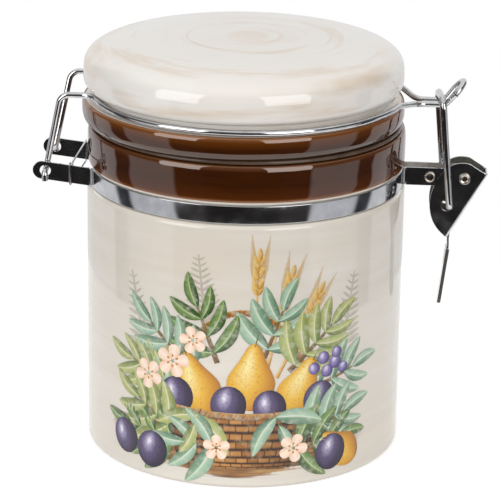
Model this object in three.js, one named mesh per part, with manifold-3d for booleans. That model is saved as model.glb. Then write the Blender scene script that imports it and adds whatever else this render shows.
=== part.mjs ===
// Clip-top storage jar: a glazed ceramic jar and lid with a rubber gasket, closed by a bail latch
// made of steel strap, bent wire and a folded sheet lever.
// Millimetres, +Z up. The origin is on the jar's axis at the table. -Y is the front of the jar,
// +X is the latch side and -X is the hinge side.

import * as THREE from 'three';
import { mergeVertices } from 'three/addons/utils/BufferGeometryUtils.js';
import Module from 'manifold-3d';

const wasm = await Module();
wasm.setup();

// Fits between pieces
const CLEARANCE = 0.3;
const HINGE_PLAY = 0.8;
const RIVET_PLAY = 0.25;
const SKIRT_PLAY = 2.5;

// Jar
const BODY_RADIUS = 52.5;
const BODY_HEIGHT = 88.9;
const BASE_FILLET = 1.6;
const SHOULDER_FILLET = 1.6;
const BODY_WALL = 5;
const NECK_WALL = 4.9;
const FLOOR_THICKNESS = 6;
const FLOOR_FILLET = 5;
const NECK_BEAD_HEIGHT = 12.6;
const NECK_BEAD_BULGE = 1.4;
const BEAD_POWER = 4;
const RIM_FILLET = 1.4;

// Lid and gasket
const GASKET_THICKNESS = 1.1;
const GASKET_OVERHANG = 0.3;
const LID_BEAD_HEIGHT = 7.6;
const LID_BEAD_BULGE = 2;
const LID_BEAD_UNDERSIDE = 4.3;
const LID_BEAD_LOW_POWER = 2.2;
const LEDGE_FILLET = 1.6;
const LID_NECK_HEIGHT = 3.6;
const LID_NECK_PLAY = 1.4;
const DOME_OVERHANG = 3.45;
const DOME_UNDERSIDE_HEIGHT = 3.4;
const CROWN_HEIGHT = 12.8;
const CROWN_POWER = 3.9;
const CROWN_WALL = 7;
const SKIRT_DEPTH = 4;
const SKIRT_WALL = 3.5;
const SKIRT_FILLET = 1.2;
const HOLLOW_ROOF_RISE = 9;

// Strap in two halves, each with a hinge ear and a latch ear
const STRAP_WIDTH = 6;
const STRAP_THICKNESS = 0.6;
const STRAP_INSET = 0.7;
const EAR_BEND = 1.5;
const HINGE_EAR_SPREAD = 28.6;
const LATCH_EAR_SPREAD = 6.4;
const HINGE_EAR_RISE = THREE.MathUtils.degToRad(7);
const LATCH_EAR_RISE = THREE.MathUtils.degToRad(-0.5);
const HINGE_EAR_MARGIN = 1.1;
const EAR_END_EASE = 0.1;

// Places along X: reaches are from the jar's wall outwards, setbacks from the lever's pivot inwards
const HINGE_REACH = 12.5;
const TIE_REACH = 4.4;
const TIE_SLANT = 2.2;
const LEVER_PIVOT_REACH = 19.5;
const EYELET_SETBACK = 11.4;
const CROSSBAR_SETBACK = 8.8;

// Wires
const WIRE_RADIUS = 1;
const BAIL_RADIUS = 1.15;
const TIE_RADIUS = 0.3;
const RING_INSET = 0.9;
const RING_HINGE_BEND = 3;
const RING_LATCH_BEND = 5;
const ARM_SHOULDER = 8.5;
const ARM_SPREAD = 30.8;
const ARM_TUCK = 0.6;
const ARM_BEND = 3.6;
const ARM_GAP = 0.6;
const ARM_DIP = 2.1;
const ARM_DIP_START = 0.35;
const TIGHT_BEND = 1.3;
const HINGE_TIP_LENGTH = 3;
const BAIL_BEND = 3;
const LOOP_TILT = THREE.MathUtils.degToRad(50);
const LOOP_LENGTH = 9.3;
const LOOP_FLARE_LENGTH = 5;
const LOOP_HALF_WIDTH = 3.9;
const TIE_BEND = 0.7;

// Eyelet and pivot rivet
const EYELET_BARREL = 1.1;
const EYELET_BORE = 0.75;
const EYELET_HEAD = 1.75;
const EYELET_HEAD_HEIGHT = 0.45;
const RIVET_SHANK = 1.2;
const RIVET_HEAD = 1.9;
const RIVET_HEAD_HEIGHT = 0.5;

// Lever: a folded sheet. The outline's corners are X and Z offsets from its pivot.
const LEVER_SHEET = 0.6;
const LEVER_CORNER = [7.5, 1.3];
const LEVER_TIP = [-5, -20.5];
const LEVER_LOW_BULGE = [-13.5, -15];
const LEVER_HIGH_BULGE = [-12.5, -4];
const LEVER_BROW = [-6.5, 2.8];
const LEVER_CROWN = [-3, 6.2];
const LEVER_TOP = [1.8, 4.9];
const BAIL_HOLE = [-5.4, -9.3];
const BAIL_HOLE_RADIUS = 2;
const HANDLE_WIDTH = 6.4;
const HANDLE_NECK = [-4.6, -25];
const HANDLE_KNEE = [-5.4, -31.5];
const HANDLE_END = [-7, -45];

// Facets
const LATHE_STEPS = 48;
const RING_STEPS = 20;
const PIN_STEPS = 20;
const OUTLINE_STEPS = 10;
const BEND_STEP = THREE.MathUtils.degToRad(24);
const WIRE_SIDES = 8;
const TIE_SIDES = 6;

// Levels and radii that follow from the sizes above
const strapOuter = BODY_RADIUS - STRAP_INSET;
const strapMiddle = strapOuter - STRAP_THICKNESS / 2;
const grooveRadius = strapOuter - STRAP_THICKNESS - CLEARANCE;
const strapBottom = BODY_HEIGHT + CLEARANCE;
const strapTop = strapBottom + STRAP_WIDTH;
const strapLevel = strapBottom + STRAP_WIDTH / 2;
const beadBottom = strapTop + CLEARANCE;
const rimLevel = beadBottom + NECK_BEAD_HEIGHT;
const beadRadius = grooveRadius + NECK_BEAD_BULGE;
const mouthRadius = grooveRadius - NECK_WALL;
const gasketLevel = rimLevel + CLEARANCE;
const lidLevel = gasketLevel + GASKET_THICKNESS + CLEARANCE;
const lidBeadTop = lidLevel + LID_BEAD_HEIGHT;
const ringLevel = lidBeadTop + CLEARANCE + WIRE_RADIUS;
const ringRadius = beadRadius - RING_INSET;
const lidNeckRadius = ringRadius - WIRE_RADIUS - LID_NECK_PLAY;
const lidNeckTop = lidBeadTop + LID_NECK_HEIGHT;
const domeRadius = lidNeckRadius + DOME_OVERHANG;
const domeLevel = lidNeckTop + DOME_UNDERSIDE_HEIGHT;
const lidTop = domeLevel + CROWN_HEIGHT;
const skirtRadius = mouthRadius - SKIRT_PLAY;

const hingeEarY = HINGE_EAR_SPREAD / 2;
const latchEarY = LATCH_EAR_SPREAD / 2;
const hingeX = -(BODY_RADIUS + HINGE_REACH);
const hingeEarX = hingeX - HINGE_EAR_MARGIN;
const pivotX = BODY_RADIUS + LEVER_PIVOT_REACH;
const eyeletX = pivotX - EYELET_SETBACK;
const hingeFold = bendCentre(strapMiddle, EAR_BEND, hingeEarY);
const latchFold = bendCentre(strapMiddle, EAR_BEND, latchEarY);
const hingeLevel = earLevel(hingeX);
const pivotLevel = earLevel(pivotX);
const latchEarFace = latchEarY + STRAP_THICKNESS / 2;
const leverInner = latchEarFace + CLEARANCE;
const leverOuter = leverInner + LEVER_SHEET;
const rivetHeadInner = leverOuter + CLEARANCE;
const rivetHeadOuter = rivetHeadInner + RIVET_HEAD_HEIGHT;
const wireStack = WIRE_RADIUS + CLEARANCE + BAIL_RADIUS;
const bailLegY = rivetHeadOuter + CLEARANCE + BAIL_RADIUS;
const latchArmLevel = ringLevel - ARM_DIP;
const crossbar = new THREE.Vector3(pivotX - CROSSBAR_SETBACK, 0, latchArmLevel + wireStack);

const STEEL = { color: 0xb9bcc0, roughness: 0.22, metalness: 1 };
const GLAZE = { color: 0xe9dfd0, roughness: 0.18, metalness: 0 };
const RUBBER = { color: 0xc9c6c0, roughness: 0.5, metalness: 0 };

// Centre of the bend that leads from a ring of this radius out to a line at y = -offset on the +X side.
function bendCentre(radius, bend, offset) {
  const reach = radius + bend;
  const drop = offset + bend;
  return { x: Math.sqrt(reach * reach - drop * drop), y: -drop };
}

// Height of an ear's centre line, which rises from its fold to its end.
function earLevel(x) {
  const fold = x < 0 ? hingeFold.x : latchFold.x;
  const rise = x < 0 ? HINGE_EAR_RISE : LATCH_EAR_RISE;
  return strapLevel + Math.tan(rise) * Math.max(0, Math.abs(x) - fold);
}

// A closed solid made from a geometry, with shared corners merged and the faces turned outwards.
function solid(geometry) {
  const bare = geometry.clone();
  bare.deleteAttribute('normal');
  bare.deleteAttribute('uv');
  const merged = mergeVertices(bare, 1e-4);
  const corners = merged.attributes.position;
  const point = (i) => new THREE.Vector3().fromBufferAttribute(corners, i);
  const index = merged.index.array;
  const triangles = [];
  let volume = 0;
  for (let i = 0; i < index.length; i += 3) {
    const [a, b, c] = index.slice(i, i + 3);
    if (a === b || b === c || c === a) continue;
    triangles.push([a, b, c]);
    volume += point(a).dot(point(b).cross(point(c)));
  }
  const outward = volume > 0 ? triangles : triangles.map(([a, b, c]) => [a, c, b]);
  return new wasm.Manifold(new wasm.Mesh({
    numProp: 3,
    vertProperties: Float32Array.from(corners.array),
    triVerts: Uint32Array.from(outward.flat()),
  }));
}

function meshOf(name, body, look) {
  const { vertProperties, triVerts } = body.getMesh();
  const geometry = new THREE.BufferGeometry();
  geometry.setAttribute('position', new THREE.BufferAttribute(new Float32Array(vertProperties), 3));
  geometry.setIndex(new THREE.BufferAttribute(new Uint32Array(triVerts), 1));
  geometry.computeVertexNormals();
  const mesh = new THREE.Mesh(geometry, new THREE.MeshStandardMaterial(look));
  mesh.name = name;
  return mesh;
}

// A turned solid about the Z axis from a profile of radius and height.
function turned(profile) {
  return solid(new THREE.LatheGeometry(profile, LATHE_STEPS).rotateX(Math.PI / 2));
}

// A pin or a hole across the jar, along Y.
function crossPin(radius, length, x, z, y = 0) {
  return solid(new THREE.CylinderGeometry(radius, radius, length, PIN_STEPS).translate(x, y, z));
}

function block(width, depth, height, x, y, z) {
  return solid(new THREE.BoxGeometry(width, depth, height).translate(x, y, z));
}

// An outline in X and Z, made into a plate that runs from y = near to y = far.
function plate(outline, near, far) {
  const options = { depth: far - near, bevelEnabled: false, curveSegments: OUTLINE_STEPS };
  return solid(new THREE.ExtrudeGeometry(outline, options).rotateX(Math.PI / 2).translate(0, far, 0));
}

// The outline of a strip of even thickness along a line of points.
function stripOutline(points, thickness) {
  const side = (distance) => points.map((point, i) => {
    const before = points[Math.max(i - 1, 0)];
    const after = points[Math.min(i + 1, points.length - 1)];
    const along = after.clone().sub(before).normalize();
    return new THREE.Vector2(point.x - along.y * distance, point.y + along.x * distance);
  });
  return new THREE.Shape([...side(thickness / 2), ...side(-thickness / 2).reverse()]);
}

function arc(x, y, radius, from, to, steps) {
  return new THREE.EllipseCurve(x, y, radius, radius, from, to, to < from).getPoints(steps);
}

// A quarter of a superellipse from its side (radius, 0) to its top (0, height).
function superQuarter(radius, height, power, steps) {
  const points = [];
  for (let i = 0; i <= steps; i += 1) {
    const turn = (Math.PI / 2) * (i / steps);
    const across = Math.max(0, Math.cos(turn)) ** (2 / power);
    points.push(new THREE.Vector2(i === steps ? 0 : radius * across, height * Math.sin(turn) ** (2 / power)));
  }
  return points;
}

// A bead that swells out of a wall between two heights, is widest at its middle and comes back to the wall.
function bead(wall, bulge, bottom, middle, top, lowPower, steps) {
  const under = superQuarter(bulge, middle - bottom, lowPower, steps);
  const over = superQuarter(bulge, top - middle, BEAD_POWER, steps);
  return [
    ...under.map((point) => new THREE.Vector2(wall + point.x, middle - point.y)).reverse(),
    ...over.slice(1).map((point) => new THREE.Vector2(wall + point.x, middle + point.y)),
  ];
}

// A wire's route, swept one step per point.
class WireRoute extends THREE.Curve {
  constructor(points) {
    super();
    this.points = points;
  }

  getPointAt(t) {
    return this.points[Math.round(t * (this.points.length - 1))].clone();
  }

  getTangentAt(t) {
    const here = Math.round(t * (this.points.length - 1));
    const before = this.points[Math.max(here - 1, 0)];
    const after = this.points[Math.min(here + 1, this.points.length - 1)];
    const arriving = this.points[here].clone().sub(before).normalize();
    const leaving = after.clone().sub(this.points[here]).normalize();
    return arriving.add(leaving).normalize();
  }
}

function wire(points, radius, sides) {
  const section = new THREE.Shape().absarc(0, 0, radius, 0, 2 * Math.PI);
  return solid(new THREE.ExtrudeGeometry(section, {
    steps: points.length - 1,
    curveSegments: sides / 2,
    extrudePath: new WireRoute(points),
  }));
}

// The route through corners given as [point, bend radius], with each corner rounded to its bend.
function bentRoute(corners) {
  const route = [];
  corners.forEach(([corner, bend], i) => {
    if (!bend) {
      route.push(corner);
      return;
    }
    const back = corners[i - 1][0].clone().sub(corner).normalize();
    const on = corners[i + 1][0].clone().sub(corner).normalize();
    const turn = Math.PI - back.angleTo(on);
    const middle = back.clone().add(on).normalize();
    const centre = corner.clone().addScaledVector(middle, bend / Math.cos(turn / 2));
    const square = middle.clone().negate();
    const across = on.clone().sub(back).normalize();
    const steps = Math.max(2, Math.ceil(turn / BEND_STEP));
    for (let k = 0; k <= steps; k += 1) {
      const angle = turn * (k / steps - 0.5);
      const out = square.clone().multiplyScalar(Math.cos(angle)).addScaledVector(across, Math.sin(angle));
      route.push(centre.clone().addScaledVector(out, bend));
    }
  });
  return route;
}

function mirrored(points) {
  return points.map((point) => new THREE.Vector3(point.x, -point.y, point.z)).reverse();
}

function fromPivot([x, z]) {
  return new THREE.Vector2(pivotX + x, pivotLevel + z);
}

// Jar: body, rounded shoulder, groove for the strap, swelling neck bead, rim and hollow inside
function jarBody() {
  const inner = BODY_RADIUS - BODY_WALL;
  const beadMiddle = (beadBottom + rimLevel) / 2;
  const profile = [
    new THREE.Vector2(0, 0),
    ...arc(BODY_RADIUS - BASE_FILLET, BASE_FILLET, BASE_FILLET, -Math.PI / 2, 0, 4),
    ...arc(BODY_RADIUS - SHOULDER_FILLET, BODY_HEIGHT - SHOULDER_FILLET, SHOULDER_FILLET, 0, Math.PI / 2, 3),
    new THREE.Vector2(grooveRadius, BODY_HEIGHT),
    ...bead(grooveRadius, NECK_BEAD_BULGE, beadBottom, beadMiddle, rimLevel, BEAD_POWER, 4),
    ...arc(mouthRadius + RIM_FILLET, rimLevel - RIM_FILLET, RIM_FILLET, Math.PI / 2, Math.PI, 3),
    new THREE.Vector2(mouthRadius, BODY_HEIGHT),
    new THREE.Vector2(inner, BODY_HEIGHT - BODY_WALL),
    ...arc(inner - FLOOR_FILLET, FLOOR_THICKNESS + FLOOR_FILLET, FLOOR_FILLET, 0, -Math.PI / 2, 4),
    new THREE.Vector2(0, FLOOR_THICKNESS),
  ];
  return turned(profile);
}

// Lid: skirt inside the mouth, bead over the gasket, ledge for the wire, pillow dome and hollow underside
function lid() {
  const skirtBottom = rimLevel - SKIRT_DEPTH;
  const hollow = skirtRadius - SKIRT_WALL;
  const roofTop = lidTop - CROWN_WALL;
  const roofSpring = roofTop - HOLLOW_ROOF_RISE;
  const beadMiddle = lidLevel + LID_BEAD_UNDERSIDE;
  const roof = superQuarter(hollow, HOLLOW_ROOF_RISE, CROWN_POWER, 6);
  const underside = arc(0, 0, 1, -Math.PI / 2, 0, 5);
  const crown = superQuarter(domeRadius, CROWN_HEIGHT, CROWN_POWER, 11);
  const profile = [
    ...roof.map((point) => new THREE.Vector2(point.x, roofSpring + point.y)).reverse(),
    ...arc(hollow + SKIRT_FILLET, skirtBottom + SKIRT_FILLET, SKIRT_FILLET, Math.PI, 1.5 * Math.PI, 2),
    ...arc(skirtRadius - SKIRT_FILLET, skirtBottom + SKIRT_FILLET, SKIRT_FILLET, -Math.PI / 2, 0, 2),
    new THREE.Vector2(skirtRadius, lidLevel),
    ...bead(grooveRadius, LID_BEAD_BULGE, lidLevel, beadMiddle, lidBeadTop, LID_BEAD_LOW_POWER, 4).slice(0, -1),
    ...arc(lidNeckRadius + LEDGE_FILLET, lidBeadTop + LEDGE_FILLET, LEDGE_FILLET, 1.5 * Math.PI, Math.PI, 3),
    ...underside.map((point) => new THREE.Vector2(
      lidNeckRadius + DOME_OVERHANG * point.x,
      domeLevel + DOME_UNDERSIDE_HEIGHT * point.y,
    )),
    ...crown.slice(1).map((point) => new THREE.Vector2(point.x, domeLevel + point.y)),
  ];
  return turned(profile);
}

// Gasket: a flat ring round the skirt, between the rim and the lid
function gasket() {
  const inner = skirtRadius + CLEARANCE;
  const outer = grooveRadius + GASKET_OVERHANG;
  const profile = [
    new THREE.Vector2(inner, gasketLevel),
    new THREE.Vector2(outer, gasketLevel),
    new THREE.Vector2(outer, gasketLevel + GASKET_THICKNESS),
    new THREE.Vector2(inner, gasketLevel + GASKET_THICKNESS),
    new THREE.Vector2(inner, gasketLevel),
  ];
  return turned(profile);
}

// Half of the strap round the jar's groove, with an ear folded out at each end.
// side is -1 for the front half and 1 for the back half.
function strapHalf(side) {
  const endRadius = STRAP_WIDTH / 2 + EAR_END_EASE;
  const hingeTurn = Math.atan2(hingeFold.y, -hingeFold.x);
  const latchTurn = Math.atan2(latchFold.y, latchFold.x);
  const centreLine = [
    new THREE.Vector2(hingeEarX - 1.5 * endRadius, -hingeEarY),
    ...arc(-hingeFold.x, hingeFold.y, EAR_BEND, Math.PI / 2, hingeTurn + Math.PI, 4),
    ...arc(0, 0, strapMiddle, hingeTurn, latchTurn, RING_STEPS).slice(1, -1),
    ...arc(latchFold.x, latchFold.y, EAR_BEND, latchTurn + Math.PI, Math.PI / 2, 4),
    new THREE.Vector2(pivotX + 1.5 * endRadius, -latchEarY),
  ].map((point) => new THREE.Vector2(point.x, -side * point.y));
  const strip = new THREE.ExtrudeGeometry(stripOutline(centreLine, STRAP_THICKNESS), {
    depth: STRAP_WIDTH,
    bevelEnabled: false,
  });
  strip.translate(0, 0, -STRAP_WIDTH / 2);
  const position = strip.attributes.position;
  for (let i = 0; i < position.count; i += 1) {
    position.setZ(i, position.getZ(i) + earLevel(position.getX(i)));
  }
  const earCorners = (x, y, level) => {
    const outward = Math.sign(x);
    const size = 4 * endRadius;
    return block(size, size, size, x + (outward * size) / 2, y, level)
      .subtract(crossPin(endRadius, 2 * size, x, level, y));
  };
  return solid(strip)
    .subtract(earCorners(hingeEarX, side * hingeEarY, earLevel(hingeEarX)))
    .subtract(earCorners(pivotX, side * latchEarY, pivotLevel))
    .subtract(crossPin(WIRE_RADIUS + HINGE_PLAY, STRAP_WIDTH, hingeX, hingeLevel, side * hingeEarY))
    .subtract(crossPin(EYELET_BARREL + RIVET_PLAY, STRAP_WIDTH, eyeletX, earLevel(eyeletX), side * latchEarY))
    .subtract(crossPin(RIVET_SHANK + RIVET_PLAY, STRAP_WIDTH, pivotX, pivotLevel, side * latchEarY));
}

// Lid wire: one length from hinge end to hinge end. It holds the lid's ledge from both sides and meets
// in a thumb loop over the latch.
function lidWire() {
  const earInner = hingeEarY - STRAP_THICKNESS / 2;
  const earOuter = hingeEarY + STRAP_THICKNESS / 2;
  const armY = earInner - CLEARANCE - ARM_TUCK - WIRE_RADIUS;
  const shoulderY = ARM_SPREAD / 2;
  const tipY = earOuter + CLEARANCE + WIRE_RADIUS;
  const latchArmY = WIRE_RADIUS + ARM_GAP / 2;
  const hingeBend = bendCentre(ringRadius, RING_HINGE_BEND, shoulderY);
  const latchBend = bendCentre(ringRadius, RING_LATCH_BEND, latchArmY);
  const hingeTurn = Math.atan2(hingeBend.y, -hingeBend.x);
  const latchTurn = Math.atan2(latchBend.y, latchBend.x);
  const shoulderX = -(hingeBend.x + ARM_SHOULDER);
  const level = (z) => (point) => [new THREE.Vector3(point.x, point.y, z), 0];
  const ontoRing = arc(-hingeBend.x, hingeBend.y, RING_HINGE_BEND, Math.PI / 2, hingeTurn + Math.PI, 4);
  const ring = arc(0, 0, ringRadius, hingeTurn, latchTurn, RING_STEPS).slice(1, -1);
  const offRing = arc(latchBend.x, latchBend.y, RING_LATCH_BEND, latchTurn + Math.PI, Math.PI / 2, 5);
  const dipped = (point, i) => {
    const part = Math.max(0, i / (offRing.length - 1) - ARM_DIP_START) / (1 - ARM_DIP_START);
    return level(ringLevel - ARM_DIP * part * part * (3 - 2 * part))(point);
  };
  const loopStart = crossbar.x + wireStack * Math.tan(LOOP_TILT / 2) + CLEARANCE;
  const loopPoint = (along, y) => new THREE.Vector3(
    loopStart + along * Math.cos(LOOP_TILT),
    y,
    latchArmLevel + along * Math.sin(LOOP_TILT),
  );
  const front = [
    [new THREE.Vector3(hingeX, -tipY, hingeLevel - HINGE_TIP_LENGTH), 0],
    [new THREE.Vector3(hingeX, -tipY, hingeLevel), TIGHT_BEND],
    [new THREE.Vector3(hingeX, -armY, hingeLevel), TIGHT_BEND],
    [new THREE.Vector3(shoulderX, -shoulderY, ringLevel), ARM_BEND],
    ...ontoRing.map(level(ringLevel)),
    ...ring.map(level(ringLevel)),
    ...offRing.map(dipped),
    [loopPoint(0, -latchArmY), TIGHT_BEND],
    [loopPoint(LOOP_FLARE_LENGTH, -LOOP_HALF_WIDTH), TIGHT_BEND],
    [loopPoint(LOOP_LENGTH, -LOOP_HALF_WIDTH), LOOP_HALF_WIDTH],
    [loopPoint(LOOP_LENGTH, 0), 0],
  ];
  const half = bentRoute(front);
  return wire([...half, ...mirrored(half).slice(1)], WIRE_RADIUS, WIRE_SIDES);
}

// Tie wire: thin wire wound once round both hinge ears, so that they can't spread off the hinge ends
function hingeTie() {
  const frontX = -(BODY_RADIUS + TIE_REACH);
  const backX = frontX + TIE_SLANT;
  const off = TIE_RADIUS + CLEARANCE;
  const faceY = hingeEarY + STRAP_THICKNESS / 2 + off;
  const over = (x) => earLevel(x) + STRAP_WIDTH / 2 + off;
  const under = (x) => earLevel(x) - STRAP_WIDTH / 2 - off;
  const tailY = -hingeEarY + STRAP_THICKNESS / 2 + off;
  const twist = 2 * TIE_RADIUS + CLEARANCE;
  const corners = [
    [new THREE.Vector3(frontX, tailY, over(frontX) - STRAP_WIDTH / 2), 0],
    [new THREE.Vector3(frontX, tailY, over(frontX)), TIE_BEND / 2],
    [new THREE.Vector3(frontX, -faceY, over(frontX)), TIE_BEND / 2],
    [new THREE.Vector3(frontX, -faceY, under(frontX)), TIE_BEND],
    [new THREE.Vector3(backX, faceY, under(backX)), TIE_BEND],
    [new THREE.Vector3(backX, faceY, over(backX)), TIE_BEND],
    [new THREE.Vector3(frontX - twist, tailY + twist, over(frontX) + twist), TIE_BEND],
    [new THREE.Vector3(frontX - 2 * twist, tailY, over(frontX) + 3 * twist), 0],
  ];
  return wire(bentRoute(corners), TIE_RADIUS, TIE_SIDES);
}

// Eyelet: a tube through both latch ears with a rolled head outside each
function earEyelet() {
  const face = latchEarFace + CLEARANCE;
  const end = face + EYELET_HEAD_HEIGHT;
  const half = [
    new THREE.Vector2(EYELET_BARREL, face),
    new THREE.Vector2(EYELET_HEAD, face),
    new THREE.Vector2((EYELET_HEAD + EYELET_BARREL) / 2, end),
    new THREE.Vector2(EYELET_BORE, face),
  ];
  const otherHalf = half.map((point) => new THREE.Vector2(point.x, -point.y)).reverse();
  const profile = [...half, ...otherHalf, half[0]];
  return solid(new THREE.LatheGeometry(profile, PIN_STEPS).translate(eyeletX, 0, earLevel(eyeletX)));
}

// Pivot rivet: a pin through both ears and both lever plates with a domed head outside each plate
function leverRivet() {
  const dome = superQuarter(RIVET_HEAD, RIVET_HEAD_HEIGHT, 2, 3);
  const half = [
    new THREE.Vector2(RIVET_SHANK, rivetHeadInner),
    ...dome.map((point) => new THREE.Vector2(point.x, rivetHeadInner + point.y)),
  ];
  const otherHalf = half.map((point) => new THREE.Vector2(point.x, -point.y)).reverse();
  return solid(new THREE.LatheGeometry([...otherHalf, ...half], PIN_STEPS).translate(pivotX, 0, pivotLevel));
}

// Lever: two side plates, the web that joins them along the outer edge, and the handle tongue below,
// where the sheet is folded double under its neck
function latchLever() {
  const [corner, tip, brow, top] = [LEVER_CORNER, LEVER_TIP, LEVER_BROW, LEVER_TOP].map(fromPivot);
  const [lowBulge, highBulge, crown] = [LEVER_LOW_BULGE, LEVER_HIGH_BULGE, LEVER_CROWN].map(fromPivot);
  const side = new THREE.Shape();
  side.moveTo(corner.x, corner.y);
  side.lineTo(tip.x, tip.y);
  side.bezierCurveTo(lowBulge.x, lowBulge.y, highBulge.x, highBulge.y, brow.x, brow.y);
  side.quadraticCurveTo(crown.x, crown.y, top.x, top.y);
  const along = tip.clone().sub(corner).normalize();
  const inward = new THREE.Vector2(along.y, -along.x).multiplyScalar(LEVER_SHEET);
  const web = new THREE.Shape([corner, tip, tip.clone().add(inward), corner.clone().add(inward)]);
  const [neck, knee, end] = [HANDLE_NECK, HANDLE_KNEE, HANDLE_END].map(fromPivot);
  const root = tip.clone().addScaledVector(along, -HANDLE_WIDTH / 2).addScaledVector(inward, 0.5);
  const tongueLine = new THREE.SplineCurve([root, tip.clone().addScaledVector(inward, 0.5), neck, knee, end]);
  const tonguePoints = tongueLine.getPoints(16);
  const half = HANDLE_WIDTH / 2;
  const doubled = plate(stripOutline(tonguePoints.slice(8), 2 * LEVER_SHEET), -half, half);
  const tongue = plate(stripOutline(tonguePoints, LEVER_SHEET), -half, half).add(doubled);
  const roundEnd = new THREE.CylinderGeometry(half, half, 4 * half, PIN_STEPS).rotateZ(Math.PI / 2);
  const endCorners = block(4 * half, 4 * half, 2 * half, end.x, 0, end.y)
    .subtract(solid(roundEnd.translate(end.x, 0, end.y + half)));
  const hole = fromPivot(BAIL_HOLE);
  return plate(side, -leverOuter, -leverInner)
    .add(plate(side, leverInner, leverOuter))
    .add(plate(web, -leverOuter, leverOuter))
    .add(tongue.subtract(endCorners))
    .subtract(crossPin(BAIL_HOLE_RADIUS, 4 * leverOuter, hole.x, hole.y))
    .subtract(crossPin(RIVET_SHANK + RIVET_PLAY, 4 * leverOuter, pivotX, pivotLevel));
}

// Bail: a wire frame over the lid wire's arms, with its ends turned in at the lever's holes
function latchBail() {
  const hole = fromPivot(BAIL_HOLE);
  const end = leverOuter + CLEARANCE;
  const front = [
    [new THREE.Vector3(hole.x, -end, hole.y), 0],
    [new THREE.Vector3(hole.x, -bailLegY, hole.y), TIGHT_BEND],
    [new THREE.Vector3(crossbar.x, -bailLegY, crossbar.z), BAIL_BEND],
    [crossbar, 0],
  ];
  const half = bentRoute(front);
  return wire([...half, ...mirrored(half).slice(1)], BAIL_RADIUS, WIRE_SIDES);
}

const canister = new THREE.Group();
canister.add(
  meshOf('jar_body', jarBody(), GLAZE),
  meshOf('lid', lid(), GLAZE),
  meshOf('lid_gasket', gasket(), RUBBER),
  meshOf('lid_wire', lidWire(), STEEL),
  meshOf('strap_front', strapHalf(-1), STEEL),
  meshOf('strap_back', strapHalf(1), STEEL),
  meshOf('hinge_tie_wire', hingeTie(), STEEL),
  meshOf('ear_eyelet', earEyelet(), STEEL),
  meshOf('lever_pivot_rivet', leverRivet(), STEEL),
  meshOf('latch_lever', latchLever(), STEEL),
  meshOf('latch_bail', latchBail(), STEEL),
);

export default canister;
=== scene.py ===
# Clip-top dry goods canister: glazed stoneware jar and lid, gasket, strap, wires and latch.
# Sizes are in millimetres and MM turns them to metres. +Z is up, -Y is the decorated front,
# +X is the latch side and -X is the hinge side.
import math

import bpy
from mathutils import Matrix, Quaternion, Vector


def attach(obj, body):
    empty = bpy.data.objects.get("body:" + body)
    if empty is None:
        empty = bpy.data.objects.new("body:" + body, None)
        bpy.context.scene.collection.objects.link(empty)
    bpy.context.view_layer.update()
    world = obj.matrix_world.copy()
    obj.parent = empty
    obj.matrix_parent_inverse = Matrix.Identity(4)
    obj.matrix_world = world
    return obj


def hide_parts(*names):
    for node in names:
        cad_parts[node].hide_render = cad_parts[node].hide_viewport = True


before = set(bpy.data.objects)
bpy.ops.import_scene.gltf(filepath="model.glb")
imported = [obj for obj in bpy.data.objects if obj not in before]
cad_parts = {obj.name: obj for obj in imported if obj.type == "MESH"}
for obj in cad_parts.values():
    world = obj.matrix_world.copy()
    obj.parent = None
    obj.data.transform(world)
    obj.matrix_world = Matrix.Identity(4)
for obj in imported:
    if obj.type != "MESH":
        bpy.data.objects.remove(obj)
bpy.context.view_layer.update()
bpy.ops.object.select_all(action="DESELECT")

MM = 0.001
POLE_RADIUS = 0.4
SAME_LEVEL = 0.02
FACE_ON = 0.9
EDGE_ON = 0.6

# Jar
BODY_RADIUS = 52.5
BODY_HEIGHT = 88.9
BASE_FILLET = 1.6
SHOULDER_FILLET = 1.6
BODY_WALL = 5
FLOOR_LEVEL = 6
FLOOR_FILLET = 5
GROOVE_RADIUS = 50.9
NECK_BEAD_BOTTOM = 95.5
RIM_LEVEL = 108.1
RIM_FILLET = 1.4
MOUTH_RADIUS = 46
NECK_BEAD_BULGE = 1.4
BEAD_POWER = 4
BROWN_GLAZE_EDGE = 96.3
BROWN_RIM_MARGIN = 0.4
FOOT_WIPE = 0.3
FOOT_LOOP = 30
WALL_LOOPS = (30, 60)
INSIDE_LOOP = 40
FLOOR_LOOP = 20

# Lid and gasket
SKIRT_RADIUS = 43.5
SKIRT_BOTTOM = 104.1
SKIRT_FILLET = 1.2
HOLLOW_RADIUS = 40
HOLLOW_SPRING = 121.2
HOLLOW_RISE = 9
LID_LEVEL = 109.8
LID_BEAD_MIDDLE = 114.1
LID_BEAD_TOP = 117.4
LID_BEAD_BULGE = 2
LID_BEAD_LOW_POWER = 2.2
LID_GLAZE_INNER = 44.5
LEDGE_FILLET = 1.6
LID_NECK_RADIUS = 49
LID_SHIFT = -1.2
DOME_LEVEL = 124.4
DOME_RADIUS = 52.45
DOME_UNDERSIDE_HEIGHT = 3.9
CROWN_HEIGHT = 12.8
CROWN_POWER = 3.9
SWIRL_RADIUS = 34
GASKET_BOTTOM = 108.3
GASKET_TOP = 109.6
GASKET_INNER = 43.8
GASKET_OUTER = 51.2

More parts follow.
